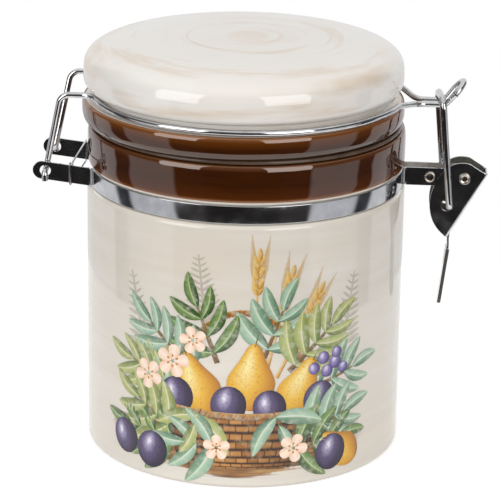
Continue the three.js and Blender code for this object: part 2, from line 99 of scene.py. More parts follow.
# Strap, ears and rivets
STRAP_WIDTH = 6
STRAP_THICKNESS = 0.6
STRAP_RADIUS = 51.5
STRAP_LEVEL = 92.2
EAR_BEND = 1.5
HINGE_EAR_Y = 14.3
LATCH_EAR_Y = 3.2
HINGE_EAR_RISE = math.radians(7)
LATCH_EAR_RISE = math.radians(-0.5)
HINGE_X = -65
HINGE_EAR_X = -66.1
EYELET_X = 60.6
PIVOT_X = 72
HINGE_HOLE = 1.8
EYELET_HOLE = 1.35
PIVOT_HOLE = 1.45
EYELET_BORE = 1.08
EYELET_BARREL = (1.1, 3.6)
EYELET_MOUTH = (0.75, 3.4)
EYELET_ROLL = (1.43, 3.85)
EYELET_ROLL_RADIUS = 0.34
RIVET_BORE = 0.95
RIVET_SHANK = (1.2, 4.6)
RIVET_BRIM = (1.75, 4.72)
RIVET_ROLL = (1.55, 4.9)
RIVET_ROLL_RADIUS = 0.3
RIVET_DIMPLE = [(1.1, 5.12), (0.85, 4.95), (0.7, 4.6), (0.02, 4.55)]
EDGE_BREAK = 0.07

# Wires
WIRE_RADIUS = 1
BAIL_RADIUS = 1.15
TIE_RADIUS = 0.3
RING_RADIUS = 51.4
RING_LEVEL = 118.7
RING_HINGE_BEND = 6
HINGE_RISE = 1.2
HINGE_RISE_STEPS = 26
HINGE_ARM_Y = 12.1
SHOULDER_Y = 15.4
HINGE_TIP_Y = 15.9
HINGE_TIP_LENGTH = 3
ARM_SHOULDER = 6.4
ARM_BEND = 3.6
LATCH_ARM_Y = 2.9
ARM_LEAVE_TURN = -16
ARM_LEAVE_BEND = 5
ARM_CLOSE_X = 55.5
ARM_CLOSE_BEND = 5
LATCH_ARM_LEVEL = 116.6
TIGHT_BEND = 1.3
LOOP_START_X = 64.642
LOOP_TILT = math.radians(50)
LOOP_LENGTH = 9.3
LOOP_FLARE_LENGTH = 5
LOOP_HALF_WIDTH = 4.5
CROSSBAR = Vector((63.2, 0, 119.05))
BAIL_LEG_Y = 6.65
BAIL_BEND = 3
BAIL_END_Y = 3.5
BAIL_SKEW = math.radians(6)
TIE_FRONT_X = -56.9
TIE_BACK_X = -54.7
TIE_GAP = 0.3
TIE_TWIST_GAP = 0.1
TIE_BEND = 0.7
TIE_END_BEND = 0.35
TIE_TWIST_BEND = 0.5

# Lever
LEVER_SHEET = 0.6
LEVER_PLATE_Y = 4.1
LEVER_OUTER_Y = 4.4
FOLD_RADIUS = 0.8
PIVOT_LEVEL = 92.03
LEVER_CORNER = (7.5, 1.3)
LEVER_TIP = (-5, -20.5)
LEVER_LOW_BULGE = (-13.5, -15)
LEVER_HIGH_BULGE = (-12.5, -4)
LEVER_BROW = (-6.5, 2.8)
LEVER_CROWN = (-3, 6.2)
LEVER_TOP = (1.8, 4.9)
BAIL_HOLE = (-5.4, -9.3)
BAIL_HOLE_RADIUS = 2
HANDLE_WIDTH = 6.4
HANDLE_NECK = (-4.6, -25)
HANDLE_CROOK = (-4.3, -22.5)
HANDLE_KNEE = (-5.4, -31.5)
HANDLE_END = (-7, -45)
HANDLE_ROOT_LAP = 3
HANDLE_TIP_HALF = 0.25
BLADE_BREAK = 0.2

# Printed picture on the front
PRINT_LIFT = 0.04
LAYER_LIFT = 0.01
BASKET_MIDDLE = 2
BASKET_WIDTH = 50
BASKET_HEIGHT = 19
BASKET_FOOT = 7
BASKET_HANDLE_FOOT = 26
BASKET_HANDLE_REACH = 23
BASKET_HANDLE_RISE = 35
BASKET_HANDLE_CANES = 41
BASKET_HANDLE_LEAN = 32
BASKET_RIM_START = -23
BASKET_RIM_LEVEL = 25.4
BASKET_RIM_SAG = 1.4
BASKET_RIM_CANES = 38
BASKET_RIM_PITCH = 1.35
BASKET_RIM_LEAN = 62
CANE_HEIGHT = 1.9
CANE_STITCH = 4.2
STALK_LENGTH = 10
LEAFLET_PAIRS = 11
LEAFLET_LEAN = 62
GRAIN_PAIRS = 6
GRAIN_PITCH = 1.9
GRAIN_LEAN = 24
AWN_LEAN = 13
PETALS = 5
ANTHERS = 6
CREAM_TONE = "#dcd5ca"
INK_HAZE = 0.04

# Camera, lamps and table, in metres and watts
CAMERA_DISTANCE = 0.856
CAMERA_LIFT = math.radians(18.36)
CAMERA_TURN = math.radians(2.5)
CAMERA_ROLL = math.radians(0.9)
CAMERA_AIM_LEVEL = 0.0638
CAMERA_AIM_SIDE = 0.00167
CAMERA_LENS = 184.3
CAMERA_SENSOR = 36
CAMERA_CLIP = 0.01
SOFTBOX_LEFT = math.radians(-44)
SOFTBOX_RIGHT = math.radians(33)
SOFTBOX_LIFT = math.radians(17)
SOFTBOX_DISTANCE = 0.9
SOFTBOX_AIM_LEVEL = 0.1
SOFTBOX_WIDTH = 0.52
SOFTBOX_HEIGHT = 0.68
SOFTBOX_POWER = 3.8
TABLE_RADIUS = 0.2
TABLE_GLOW = 0.12
TABLE_SEEN_GLOW = 0.5


def linear(code):
    """An sRGB hex colour as linear RGBA."""
    parts = [int(code[i:i + 2], 16) / 255 for i in (1, 3, 5)]
    return [c / 12.92 if c <= 0.04045 else ((c + 0.055) / 1.055) ** 2.4 for c in parts] + [1.0]


def add(tree, kind, inputs=None, stops=None, **settings):
    """Adds a shader node with its settings, its input values and the sockets linked to it."""
    node = tree.nodes.new("ShaderNode" + kind)
    for name, value in settings.items():
        setattr(node, name, value)
    for name, value in (inputs or {}).items():
        if isinstance(value, bpy.types.NodeSocket):
            tree.links.new(value, node.inputs[name])
        else:
            node.inputs[name].default_value = value
    if stops:
        ramp = node.color_ramp
        while len(ramp.elements) < len(stops):
            ramp.elements.new(0.5)
        for element, (place, code) in zip(ramp.elements, stops):
            element.position = place
            element.color = linear(code)
    return node


def new_material(name):
    """An empty material and its node tree."""
    material = bpy.data.materials.new(name)
    material.use_nodes = True
    material.node_tree.nodes.clear()
    return material, material.node_tree


def finish_material(tree, shader):
    """Leads the shader to the material's surface."""
    add(tree, "OutputMaterial", {"Surface": shader.outputs[0]})


def brush_streaks(tree, width, stretch):
    """Noise drawn out round the pot, as the glaze is brushed on a turning wheel.
    width is the streak's width in mm, and stretch how many times longer it is."""
    place = add(tree, "TexCoord").outputs["Object"]
    parts = add(tree, "SeparateXYZ", {0: place})
    flat = add(tree, "CombineXYZ", {0: parts.outputs[0], 1: parts.outputs[1]})
    reach = add(tree, "VectorMath", {0: flat.outputs[0]}, operation="LENGTH")
    across = add(tree, "Math", {0: reach.outputs["Value"], 1: parts.outputs[2]}, operation="ADD")
    drawn = add(tree, "Math", {0: across.outputs[0], 1: stretch}, operation="MULTIPLY")
    route = add(tree, "CombineXYZ", {0: parts.outputs[0], 1: parts.outputs[1], 2: drawn.outputs[0]})
    scale = 1 / (width * MM * stretch)
    return add(tree, "TexNoise", {"Vector": route.outputs[0], "Scale": scale, "Detail": 4, "Roughness": 0.6})


def cream_glaze():
    """Opaque cream stoneware glaze brushed on a wheel: ivory with warm beige bands that run round the
    pot, a whiter coat and a worn swirl on the lid, a peach blush where it is thin, and a wet gloss with
    a faint ripple."""
    material, tree = new_material("cream_stoneware_glaze")
    streaks = brush_streaks(tree, 5, 14)
    tone = add(tree, "ValToRGB", {0: streaks.outputs[0]}, stops=[
        (0.3, "#d8d0c5"), (0.5, CREAM_TONE), (0.68, "#dfd9d0"),
    ])
    place = add(tree, "TexCoord").outputs["Object"]
    parts = add(tree, "SeparateXYZ", {0: place})
    level = parts.outputs[2]
    strokes = brush_streaks(tree, 5, 9)
    full = add(tree, "MapRange", {0: level, 1: RIM_LEVEL * MM, 2: DOME_LEVEL * MM, 3: 0.12, 4: 0.75})
    bare = add(tree, "MapRange", {0: strokes.outputs[0], 1: 0.52, 2: 0.74, 3: 0.0, 4: full.outputs[0]})
    coat = add(tree, "MapRange", {0: level, 1: RIM_LEVEL * MM, 2: LID_BEAD_TOP * MM})
    white = add(tree, "Mix", {
        0: coat.outputs[0], 6: tone.outputs[0], 7: linear("#e8e4de"),
    }, data_type="RGBA")
    brushed = add(tree, "Mix", {
        0: bare.outputs[0], 6: white.outputs[2], 7: linear("#d3bda2"),
    }, data_type="RGBA")
    flat = add(tree, "CombineXYZ", {0: parts.outputs[0], 1: parts.outputs[1]})
    reach = add(tree, "VectorMath", {0: flat.outputs[0]}, operation="LENGTH")
    ring = add(tree, "MapRange", {0: reach.outputs["Value"], 2: SWIRL_RADIUS * MM})
    stray = add(tree, "MapRange", {0: strokes.outputs[0], 1: 0.3, 2: 0.7, 3: -0.17, 4: 0.17})
    wound = add(tree, "Math", {0: ring.outputs[0], 1: stray.outputs[0]}, operation="ADD")
    swirl = add(tree, "ValToRGB", {0: wound.outputs[0]}, stops=[
        (0.0, "#9c9c9c"), (0.14, "#868686"), (0.26, "#3c3c3c"), (0.38, "#7c7c7c"), (0.54, "#303030"),
        (0.68, "#4a4a4a"), (0.84, "#101010"), (1.0, "#000000"),
    ])
    on_top = add(tree, "MapRange", {0: level, 1: DOME_LEVEL * MM, 2: (DOME_LEVEL + CROWN_HEIGHT) * MM})
    cloud = add(tree, "TexNoise", {"Vector": place, "Scale": 1 / (38 * MM), "Detail": 2})
    worn = add(tree, "TexNoise", {"Vector": place, "Scale": 1 / (16 * MM), "Detail": 3})
    kept = add(tree, "MapRange", {0: worn.outputs[0], 1: 0.38, 2: 0.62, 3: 0.1, 4: 1.0})
    patchy = add(tree, "Math", {0: on_top.outputs[0], 1: kept.outputs[0]}, operation="MULTIPLY")
    spun = add(tree, "Math", {0: swirl.outputs[0], 1: patchy.outputs[0]}, operation="MULTIPLY")
    wheel = add(tree, "Mix", {
        0: spun.outputs[0], 6: brushed.outputs[2], 7: linear("#cfae88"),
    }, data_type="RGBA")
    thin = add(tree, "ValToRGB", {0: cloud.outputs[0]}, stops=[(0.5, "#000000"), (0.72, "#6a6a6a")])
    blush = add(tree, "Mix", {
        0: thin.outputs[0], 6: wheel.outputs[2], 7: linear("#dcbf9f"),
    }, data_type="RGBA")
    ripple = add(tree, "TexNoise", {"Vector": place, "Scale": 1 / (9 * MM), "Detail": 1})
    bump = add(tree, "Bump", {"Height": ripple.outputs[0], "Strength": 0.06, "Distance": 0.4 * MM})
    gloss = add(tree, "MapRange", {0: streaks.outputs[0], 1: 0.3, 2: 0.7, 3: 0.02, 4: 0.04})
    shader = add(tree, "BsdfPrincipled", {
        "Base Color": blush.outputs[2], "Roughness": gloss.outputs[0], "Normal": bump.outputs[0],
        "IOR": 1.55,
    })
    finish_material(tree, shader)
    return material


def brown_glaze():
    """Honey brown transparent glaze, graded by height: amber at the foot of the neck bead where the glaze
    thins out, nearly black lower on the beads and darkest under the lid bead by the gasket, which is painted
    shade, and lighter amber at the top edge of each bead, a painted sheen where the beads turn up to the
    light. It is as glossy as glass."""
    material, tree = new_material("honey_brown_glaze")
    place = add(tree, "TexCoord").outputs["Object"]
    level = add(tree, "SeparateXYZ", {0: place}).outputs[2]
    part = add(tree, "MapRange", {0: level, 1: NECK_BEAD_BOTTOM * MM, 2: LID_BEAD_TOP * MM})
    # Height bands: painted shade low on the beads and under the lid bead, painted sheen at their top edges
    bead_shade_and_sheen = add(tree, "ValToRGB", {0: part.outputs[0]}, stops=[
        (0.03, "#8a4f1a"), (0.1, "#462008"), (0.3, "#2e1203"), (0.5, "#361604"), (0.57, "#5e3410"),
        (0.66, "#220e02"), (0.82, "#341604"), (0.93, "#5c300a"), (1.0, "#8a5420"),
    ])
    streaks = brush_streaks(tree, 3.5, 9)
    strength = add(tree, "MapRange", {0: streaks.outputs[0], 1: 0.35, 2: 0.7, 3: 0.0, 4: 0.4})
    runs = add(tree, "Mix", {
        0: strength.outputs[0], 6: bead_shade_and_sheen.outputs[0], 7: linear("#562a08"),
    }, data_type="RGBA")
    ripple = add(tree, "TexNoise", {"Vector": place, "Scale": 1 / (7 * MM), "Detail": 1})
    bump = add(tree, "Bump", {"Height": ripple.outputs[0], "Strength": 0.16, "Distance": 0.5 * MM})
    shader = add(tree, "BsdfPrincipled", {
        "Base Color": runs.outputs[2], "Roughness": 0.03, "Normal": bump.outputs[0], "IOR": 1.8,
        "Specular Tint": linear("#fff0e6"),
    })
    finish_material(tree, shader)
    return material


def bisque():
    """Bare fired clay under the foot, wiped clean of glaze: warm, matt and finely speckled."""
    material, tree = new_material("unglazed_stoneware_foot")
    place = add(tree, "TexCoord").outputs["Object"]
    grit = add(tree, "TexNoise", {"Vector": place, "Scale": 1 / (0.8 * MM), "Detail": 4})
    tone = add(tree, "ValToRGB", {0: grit.outputs[0]}, stops=[(0.35, "#b9a68e"), (0.6, "#d9cbb6")])
    bump = add(tree, "Bump", {"Height": grit.outputs[0], "Strength": 0.4, "Distance": 0.1 * MM})
    shader = add(tree, "BsdfPrincipled", {
        "Base Color": tone.outputs[0], "Roughness": 0.85, "Normal": bump.outputs[0],
    })
    finish_material(tree, shader)
    return material


def silicone():
    """Moulded translucent silicone: satin, and painted dark brown-grey: painted shade of the gap between the
    beads that it sits in, and a painted reflection of the brown glaze on both sides.
    """
    material, tree = new_material("silicone_with_painted_gap_shade")
    place = add(tree, "TexCoord").outputs["Object"]
    cloud = add(tree, "TexNoise", {"Vector": place, "Scale": 1 / (6 * MM), "Detail": 3})
    # Painted shade of the gap and painted reflection of the brown beads, as the silicone's colour
    tone = add(tree, "ValToRGB", {0: cloud.outputs[0]}, stops=[(0.3, "#4d3d32"), (0.7, "#655242")])
    shader = add(tree, "BsdfPrincipled", {
        "Base Color": tone.outputs[0], "Roughness": 0.2, "IOR": 1.41, "Subsurface Weight": 0.3,
        "Subsurface Radius": (1 * MM, 0.9 * MM, 0.8 * MM),
    })
    finish_material(tree, shader)
    return material


def rolled_steel():
    """Bright-rolled stainless strip: a clear mirror with very fine lines along the strip, drawn here at
    0.25 mm so that they show, and faint clouding from handling."""
    material, tree = new_material("bright_rolled_stainless_strip")
    place = add(tree, "TexCoord").outputs["Object"]
    lines = add(tree, "Mapping", {0: place, 3: (0.04, 0.04, 1)})
    grain = add(tree, "TexNoise", {"Vector": lines.outputs[0], "Scale": 1 / (0.25 * MM), "Detail": 2})
    cloud = add(tree, "TexNoise", {"Vector": place, "Scale": 1 / (5 * MM), "Detail": 3})
    tone = add(tree, "ValToRGB", {0: cloud.outputs[0]}, stops=[(0.3, "#b9babd"), (0.7, "#cfd0d2")])
    haze = add(tree, "MapRange", {0: cloud.outputs[0], 1: 0.3, 2: 0.7, 3: 0.07, 4: 0.15})
    bump = add(tree, "Bump", {"Height": grain.outputs[0], "Strength": 0.08, "Distance": 0.02 * MM})
    shader = add(tree, "BsdfPrincipled", {
        "Base Color": tone.outputs[0], "Metallic": 1.0, "Roughness": haze.outputs[0],
        "Normal": bump.outputs[0],
    })
    finish_material(tree, shader)
    return material


def worn_metal(name, patch, detail, tones, bright, dull):
    """A metal with wear in patches of a size in mm. tones are its colours, and bright and dull its
    roughness, from one end of the wear to the other."""
    material, tree = new_material(name)
    place = add(tree, "TexCoord").outputs["Object"]
    wear = add(tree, "TexNoise", {"Vector": place, "Scale": 1 / (patch * MM), "Detail": detail})
    tone = add(tree, "ValToRGB", {0: wear.outputs[0]}, stops=tones)
    haze = add(tree, "MapRange", {0: wear.outputs[0], 1: 0.3, 2: 0.7, 3: bright, 4: dull})
    shader = add(tree, "BsdfPrincipled", {
        "Base Color": tone.outputs[0], "Metallic": 1.0, "Roughness": haze.outputs[0],
    })
    finish_material(tree, shader)
    return material


def arc(x, y, radius, start, end, steps):
    """Points on an arc, with its angles in degrees."""
    turns = [math.radians(start + (end - start) * i / steps) for i in range(steps + 1)]
    return [(x + radius * math.cos(turn), y + radius * math.sin(turn)) for turn in turns]


def super_quarter(radius, height, power, steps):
    """A quarter of a superellipse, from its side to just short of its top."""
    points = []
    for i in range(steps):
        turn = math.pi / 2 * i / steps
        points.append((radius * math.cos(turn) ** (2 / power), height * math.sin(turn) ** (2 / power)))
    return points


def bead(wall, bulge, bottom, middle, top, low_power):
    """A bead that swells out of a wall between two heights and comes back to the wall."""
    under = [(wall + r, middle - z) for r, z in super_quarter(bulge, middle - bottom, low_power, 20)]
    over = [(wall + r, middle + z) for r, z in super_quarter(bulge, top - middle, BEAD_POWER, 20)]
    return [(wall, bottom), *reversed(under), *over[1:], (wall, top)]


def bend_centre(radius, bend, offset):
    """Centre of the bend that leads from a ring out to a line at y = -offset."""
    reach = radius + bend
    drop = offset + bend
    return math.sqrt(reach * reach - drop * drop), -drop


def finish_mesh(piece, crease):
    """Closes seams and open ends, turns the faces outwards and smooths all but the sharp edges."""
    bpy.ops.object.mode_set(mode="EDIT")
    bpy.ops.mesh.select_all(action="SELECT")
    bpy.ops.mesh.remove_doubles(threshold=0.002 * MM)
    bpy.ops.mesh.fill_holes(sides=0)
    bpy.ops.mesh.select_all(action="SELECT")
    bpy.ops.mesh.normals_make_consistent(inside=False)
    bpy.ops.object.mode_set(mode="OBJECT")
    bpy.ops.object.shade_smooth_by_angle(angle=math.radians(crease))
    return piece


def turned(name, profile, sides=160, crease=40):
    """A piece turned on the wheel: a ring is drawn out from one point of the profile to the next."""
    radius, level = profile[0]
    bpy.ops.mesh.primitive_circle_add(vertices=sides, radius=radius * MM, location=(0, 0, level * MM))
    piece = bpy.context.object
    piece.name = name
    bpy.ops.object.transform_apply(location=True, rotation=True, scale=True)
    bpy.ops.object.mode_set(mode="EDIT")
    bpy.ops.mesh.select_all(action="SELECT")
    for (last_radius, last_level), (next_radius, next_level) in zip(profile, profile[1:]):
        rise = (0, 0, (next_level - last_level) * MM)
        widen = next_radius / last_radius
        bpy.ops.mesh.extrude_region_move(TRANSFORM_OT_translate={"value": rise})
        bpy.ops.transform.resize(value=(widen, widen, 1), center_override=(0, 0, next_level * MM))
    bpy.ops.object.mode_set(mode="OBJECT")
    return finish_mesh(piece, crease)


def turned_across(name, profile, x, z):
    """A small turned piece laid across the canister, along Y."""
    piece = turned(name, profile, 48, 50)
    piece.rotation_euler = (math.radians(90), 0, 0)
    piece.location = (x * MM, 0, z * MM)
    bpy.ops.object.transform_apply(location=True, rotation=True, scale=True)
    return piece


def line_curve(name, loops, flat=False):
    """A curve object through loops of points, made the active one. A flat one is a closed outline."""
    line = bpy.data.curves.new(name, "CURVE")
    line.dimensions = "2D" if flat else "3D"
    for loop in loops:
        spline = line.splines.new("POLY")
        spline.points.add(len(loop) - 1)
        for point, place in zip(spline.points, loop):
            point.co = [c * MM for c in (*place, 0, 0)[:3]] + [1]
        spline.use_cyclic_u = flat
    piece = bpy.data.objects.new(name, line)
    bpy.context.scene.collection.objects.link(piece)
    bpy.ops.object.select_all(action="DESELECT")
    piece.select_set(True)
    bpy.context.view_layer.objects.active = piece
    return piece


def as_mesh(piece, crease, upright=False, y=0):
    """Makes a curve a mesh, stands it in the XZ plane if it was drawn flat, and finishes it."""
    bpy.ops.object.convert(target="MESH")
    if upright:
        piece.rotation_euler = (math.radians(90), 0, 0)
    piece.location = (0, y * MM, 0)
    bpy.ops.object.transform_apply(location=True, rotation=True, scale=True)
    return finish_mesh(piece, crease)


def wire(name, route, radius):
    """Round wire along a route of points."""
    piece = line_curve(name, [route])
    piece.data.bevel_depth = radius * MM
    piece.data.bevel_resolution = 6
    piece.data.use_fill_caps = True
    return as_mesh(piece, 60)


def strip(name, route, width, upright=False):
    """Strip steel on edge along a route of points, with its edges rounded by the rolls."""
    piece = line_curve(name, [route])
    piece.data.twist_mode = "Z_UP"
    piece.data.extrude = (width - STRAP_THICKNESS) / 2 * MM
    piece.data.bevel_depth = STRAP_THICKNESS / 2 * MM
    piece.data.bevel_resolution = 3
    piece.data.use_fill_caps = True
    return as_mesh(piece, 15, upright)


def sheet(name, outline, holes, y):
    """Sheet steel in the XZ plane, cut to an outline with round holes, its edges broken."""
    rounds = [arc(x, z, radius, 0, 360, 48)[:-1] for x, z, radius in holes]
    piece = line_curve(name, [outline, *rounds], True)
    piece.data.fill_mode = "BOTH"
    piece.data.extrude = (LEVER_SHEET / 2 - EDGE_BREAK) * MM
    piece.data.bevel_depth = EDGE_BREAK * MM
    piece.data.bevel_resolution = 2
    piece.data.offset = -EDGE_BREAK * MM
    return as_mesh(piece, 12, True, y)


def joined(name, pieces):
    """Several meshes as one piece."""
    bpy.ops.object.select_all(action="DESELECT")
    for piece in pieces:
        piece.select_set(True)
    bpy.context.view_layer.objects.active = pieces[0]
    bpy.ops.object.join()
    pieces[0].name = name
    return pieces[0]


def bent_route(corners):
    """The route through corners given as (point, bend radius), with each corner rounded."""
    route = []
    for i, (corner, bend) in enumerate(corners):
        if not bend:
            route.append(corner)
            continue
        back = (corners[i - 1][0] - corner).normalized()
        on = (corners[i + 1][0] - corner).normalized()
        turn = math.pi - back.angle(on)
        middle = (back + on).normalized()
        centre = corner + middle * (bend / math.cos(turn / 2))
        across = (on - back).normalized()
        steps = max(3, math.ceil(math.degrees(turn) / 6))
        for k in range(steps + 1):
            angle = turn * (k / steps - 0.5)
            route.append(centre + (across * math.sin(angle) - middle * math.cos(angle)) * bend)
    return route


def both_ways(half):
    """A half route from one end to the middle, with its mirror image after it."""
    return half + [Vector((p.x, -p.y, p.z)) for p in reversed(half[:-1])]


def from_pivot(offset):
    """The place (x, z) at an offset from the lever's pivot."""
    return PIVOT_X + offset[0], PIVOT_LEVEL + offset[1]


def ear_level(x):
    """Height of an ear's centre line, which rises from its fold."""
    offset, rise = (HINGE_EAR_Y, HINGE_EAR_RISE) if x < 0 else (LATCH_EAR_Y, LATCH_EAR_RISE)
    fold = bend_centre(STRAP_RADIUS, EAR_BEND, offset)[0]
    return STRAP_LEVEL + math.tan(rise) * max(0, abs(x) - fold)


def bezier(points, steps):
    """Points along a Bezier curve of any order, without its first."""
    line = []
    for i in range(1, steps + 1):
        left = points
        while len(left) > 1:
            left = [tuple(a + (b - a) * i / steps for a, b in zip(p, q)) for p, q in zip(left, left[1:])]
        line.append(left[0])
    return line


def hold(piece, body, node, materials):
    """Gives a piece its materials, its body and the CAD node that it stands for."""
    piece.data.materials.clear()
    for material in materials:
        piece.data.materials.append(material)
    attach(piece, body)
    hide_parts(node)


def glaze_jar(piece):
    """The jar's faces: cream, brown on the neck bead and bare clay under the foot."""
    for face in piece.data.polygons:
        reach = math.hypot(face.center.x, face.center.y) / MM
        level = face.center.z / MM
        if level < FOOT_WIPE:
            face.material_index = 2
        elif level > BROWN_GLAZE_EDGE and reach > MOUTH_RADIUS + BROWN_RIM_MARGIN:
            face.material_index = 1


def glaze_lid(piece):
    """The lid's faces: cream, and brown on the bead."""
    for face in piece.data.polygons:
        reach = math.hypot(face.center.x, face.center.y) / MM
        level = face.center.z / MM
        on_bead = LID_LEVEL - SAME_LEVEL < level < LID_BEAD_TOP - SAME_LEVEL
        if on_bead and reach > LID_GLAZE_INNER:
            face.material_index = 1


def shade_bore(piece, x, z, radius):
    """Gives the faces inside a bore along Y the second material, which paints the shade inside the hole."""
    for face in piece.data.polygons:
        if math.hypot(face.center.x / MM - x, face.center.z / MM - z) < radius:
            face.material_index = 1


def bare_tongue_edge(piece):
    """The thin edges of the lever's tongue, which take the second material."""
    for face in piece.data.polygons:
        if face.center.z / MM < PIVOT_LEVEL + LEVER_TIP[1] and abs(face.normal.y) > EDGE_ON:
            face.material_index = 1


def dull_inner_faces(piece, index):
    """Gives the faces of the latch's ears or plates that face each other the material of that index."""
    for face in piece.data.polygons:
        inward = -face.normal.y if face.center.y > 0 else face.normal.y
        if face.center.x / MM > STRAP_RADIUS and inward > FACE_ON:
            face.material_index = index


CREAM = cream_glaze()
BROWN = brown_glaze()
FOOT = bisque()
SHADED_SILICONE = silicone()
STRIP_STEEL = rolled_steel()
# The sheared edge of sheet steel, left as cut: grey and dull beside the rolled face
CUT_STEEL = worn_metal("sheared_stainless_edge", 0.4, 3, [
    (0.3, "#3d3835"), (0.7, "#6b6561"),
], 0.35, 0.5)
# The ears' inner faces, as the strip left the mill: pale and satin, where the outer faces are bright
EAR_FACE = worn_metal("mill_finish_stainless_strip", 1.5, 3, [
    (0.3, "#bdb7b2"), (0.7, "#d6d1cc"),
], 0.5, 0.62)
# The lever's inner faces, which face each other: satin too, and painted dark as the shade between the two
# plates
SHADED_PLATE_FACE = worn_metal("stainless_sheet_painted_shade", 1.5, 3, [
    (0.3, "#63605a"), (0.7, "#7a766f"),
], 0.5, 0.62)
# Bright-drawn wire: polished, with slight die marks and dull spots from bending
WIRE_STEEL = worn_metal("bright_drawn_stainless_wire", 3, 4, [
    (0.3, "#bcbcbd"), (0.7, "#d6d6d6"),
], 0.05, 0.11)
# Plated rivets: a warmer and softer shine than the steel, worn in patches
NICKEL = worn_metal("nickel_plated_brass", 0.9, 4, [
    (0.3, "#b7aea3"), (0.65, "#d8d2c9"),
], 0.14, 0.28)
# Inside a punched bore: brown and dull, painted dark as the shade inside the hole
BORE_SHADE = worn_metal("bore_painted_shade", 0.5, 3, [
    (0.3, "#2c211a"), (0.7, "#5b483a"),
], 0.4, 0.6)

# Jar: foot, body, shoulder, groove, neck bead, rim and inside
inner = BODY_RADIUS - BODY_WALL
neck_bead_middle = (NECK_BEAD_BOTTOM + RIM_LEVEL) / 2
jar = turned("jar_glazed", [
    (POLE_RADIUS, 0),
    (FOOT_LOOP, 0),
    *arc(BODY_RADIUS - BASE_FILLET, BASE_FILLET, BASE_FILLET, -90, 0, 12),
    *[(BODY_RADIUS, level) for level in WALL_LOOPS],
    *arc(BODY_RADIUS - SHOULDER_FILLET, BODY_HEIGHT - SHOULDER_FILLET, SHOULDER_FILLET, 0, 90, 8),
    (GROOVE_RADIUS, BODY_HEIGHT),
    *bead(GROOVE_RADIUS, NECK_BEAD_BULGE, NECK_BEAD_BOTTOM, neck_bead_middle, RIM_LEVEL, BEAD_POWER),
    *arc(MOUTH_RADIUS + RIM_FILLET, RIM_LEVEL - RIM_FILLET, RIM_FILLET, 90, 180, 8),
    (MOUTH_RADIUS, BODY_HEIGHT),
    (inner, BODY_HEIGHT - BODY_WALL),
    (inner, INSIDE_LOOP),
    *arc(inner - FLOOR_FILLET, FLOOR_LEVEL + FLOOR_FILLET, FLOOR_FILLET, 0, -90, 8),
    (FLOOR_LOOP, FLOOR_LEVEL),
    (POLE_RADIUS, FLOOR_LEVEL),
])
hold(jar, "jar", "jar_body", [CREAM, BROWN, FOOT])
glaze_jar(jar)

# Lid: hollow underside, skirt, bead, ledge, neck and pillow dome
lid_bead = bead(
    GROOVE_RADIUS, LID_BEAD_BULGE, LID_LEVEL, LID_BEAD_MIDDLE, LID_BEAD_TOP, LID_BEAD_LOW_POWER,
)
roof = [(r, HOLLOW_SPRING + z) for r, z in super_quarter(HOLLOW_RADIUS, HOLLOW_RISE, CROWN_POWER, 14)]
overhang = DOME_RADIUS - LID_NECK_RADIUS
underside = [
    (LID_NECK_RADIUS + overhang * x, DOME_LEVEL + DOME_UNDERSIDE_HEIGHT * z)
    for x, z in arc(0, 0, 1, -90, 0, 16)
]
crown = [(r, DOME_LEVEL + z) for r, z in super_quarter(DOME_RADIUS, CROWN_HEIGHT, CROWN_POWER, 48)]
lid = turned("lid_glazed", [
    (POLE_RADIUS, HOLLOW_SPRING + HOLLOW_RISE),
    *reversed(roof),
    *arc(HOLLOW_RADIUS + SKIRT_FILLET, SKIRT_BOTTOM + SKIRT_FILLET, SKIRT_FILLET, 180, 270, 6),
    *arc(SKIRT_RADIUS - SKIRT_FILLET, SKIRT_BOTTOM + SKIRT_FILLET, SKIRT_FILLET, -90, 0, 6),
    (SKIRT_RADIUS, LID_LEVEL),
    *lid_bead[:-1],
    *arc(LID_NECK_RADIUS + LEDGE_FILLET, LID_BEAD_TOP + LEDGE_FILLET, LEDGE_FILLET, 270, 180, 8),
    *underside,
    *crown[1:],
    (POLE_RADIUS, DOME_LEVEL + CROWN_HEIGHT),
])
hold(lid, "lid", "lid", [CREAM, BROWN])
glaze_lid(lid)
lid.location = (LID_SHIFT * MM, 0, 0)
bpy.ops.object.transform_apply(location=True, rotation=True, scale=True)

# Gasket: a flat moulded ring with rounded edges
gasket_lip = (GASKET_TOP - GASKET_BOTTOM) / 2
gasket_middle = (GASKET_TOP + GASKET_BOTTOM) / 2
gasket = turned("gasket_ring", [
    *arc(GASKET_OUTER - gasket_lip, gasket_middle, gasket_lip, -90, 90, 10),
    *arc(GASKET_INNER + gasket_lip, gasket_middle, gasket_lip, 90, 270, 10),
    (GASKET_OUTER - gasket_lip, GASKET_BOTTOM),
])
hold(gasket, "lid", "lid_gasket", [SHADED_SILICONE])


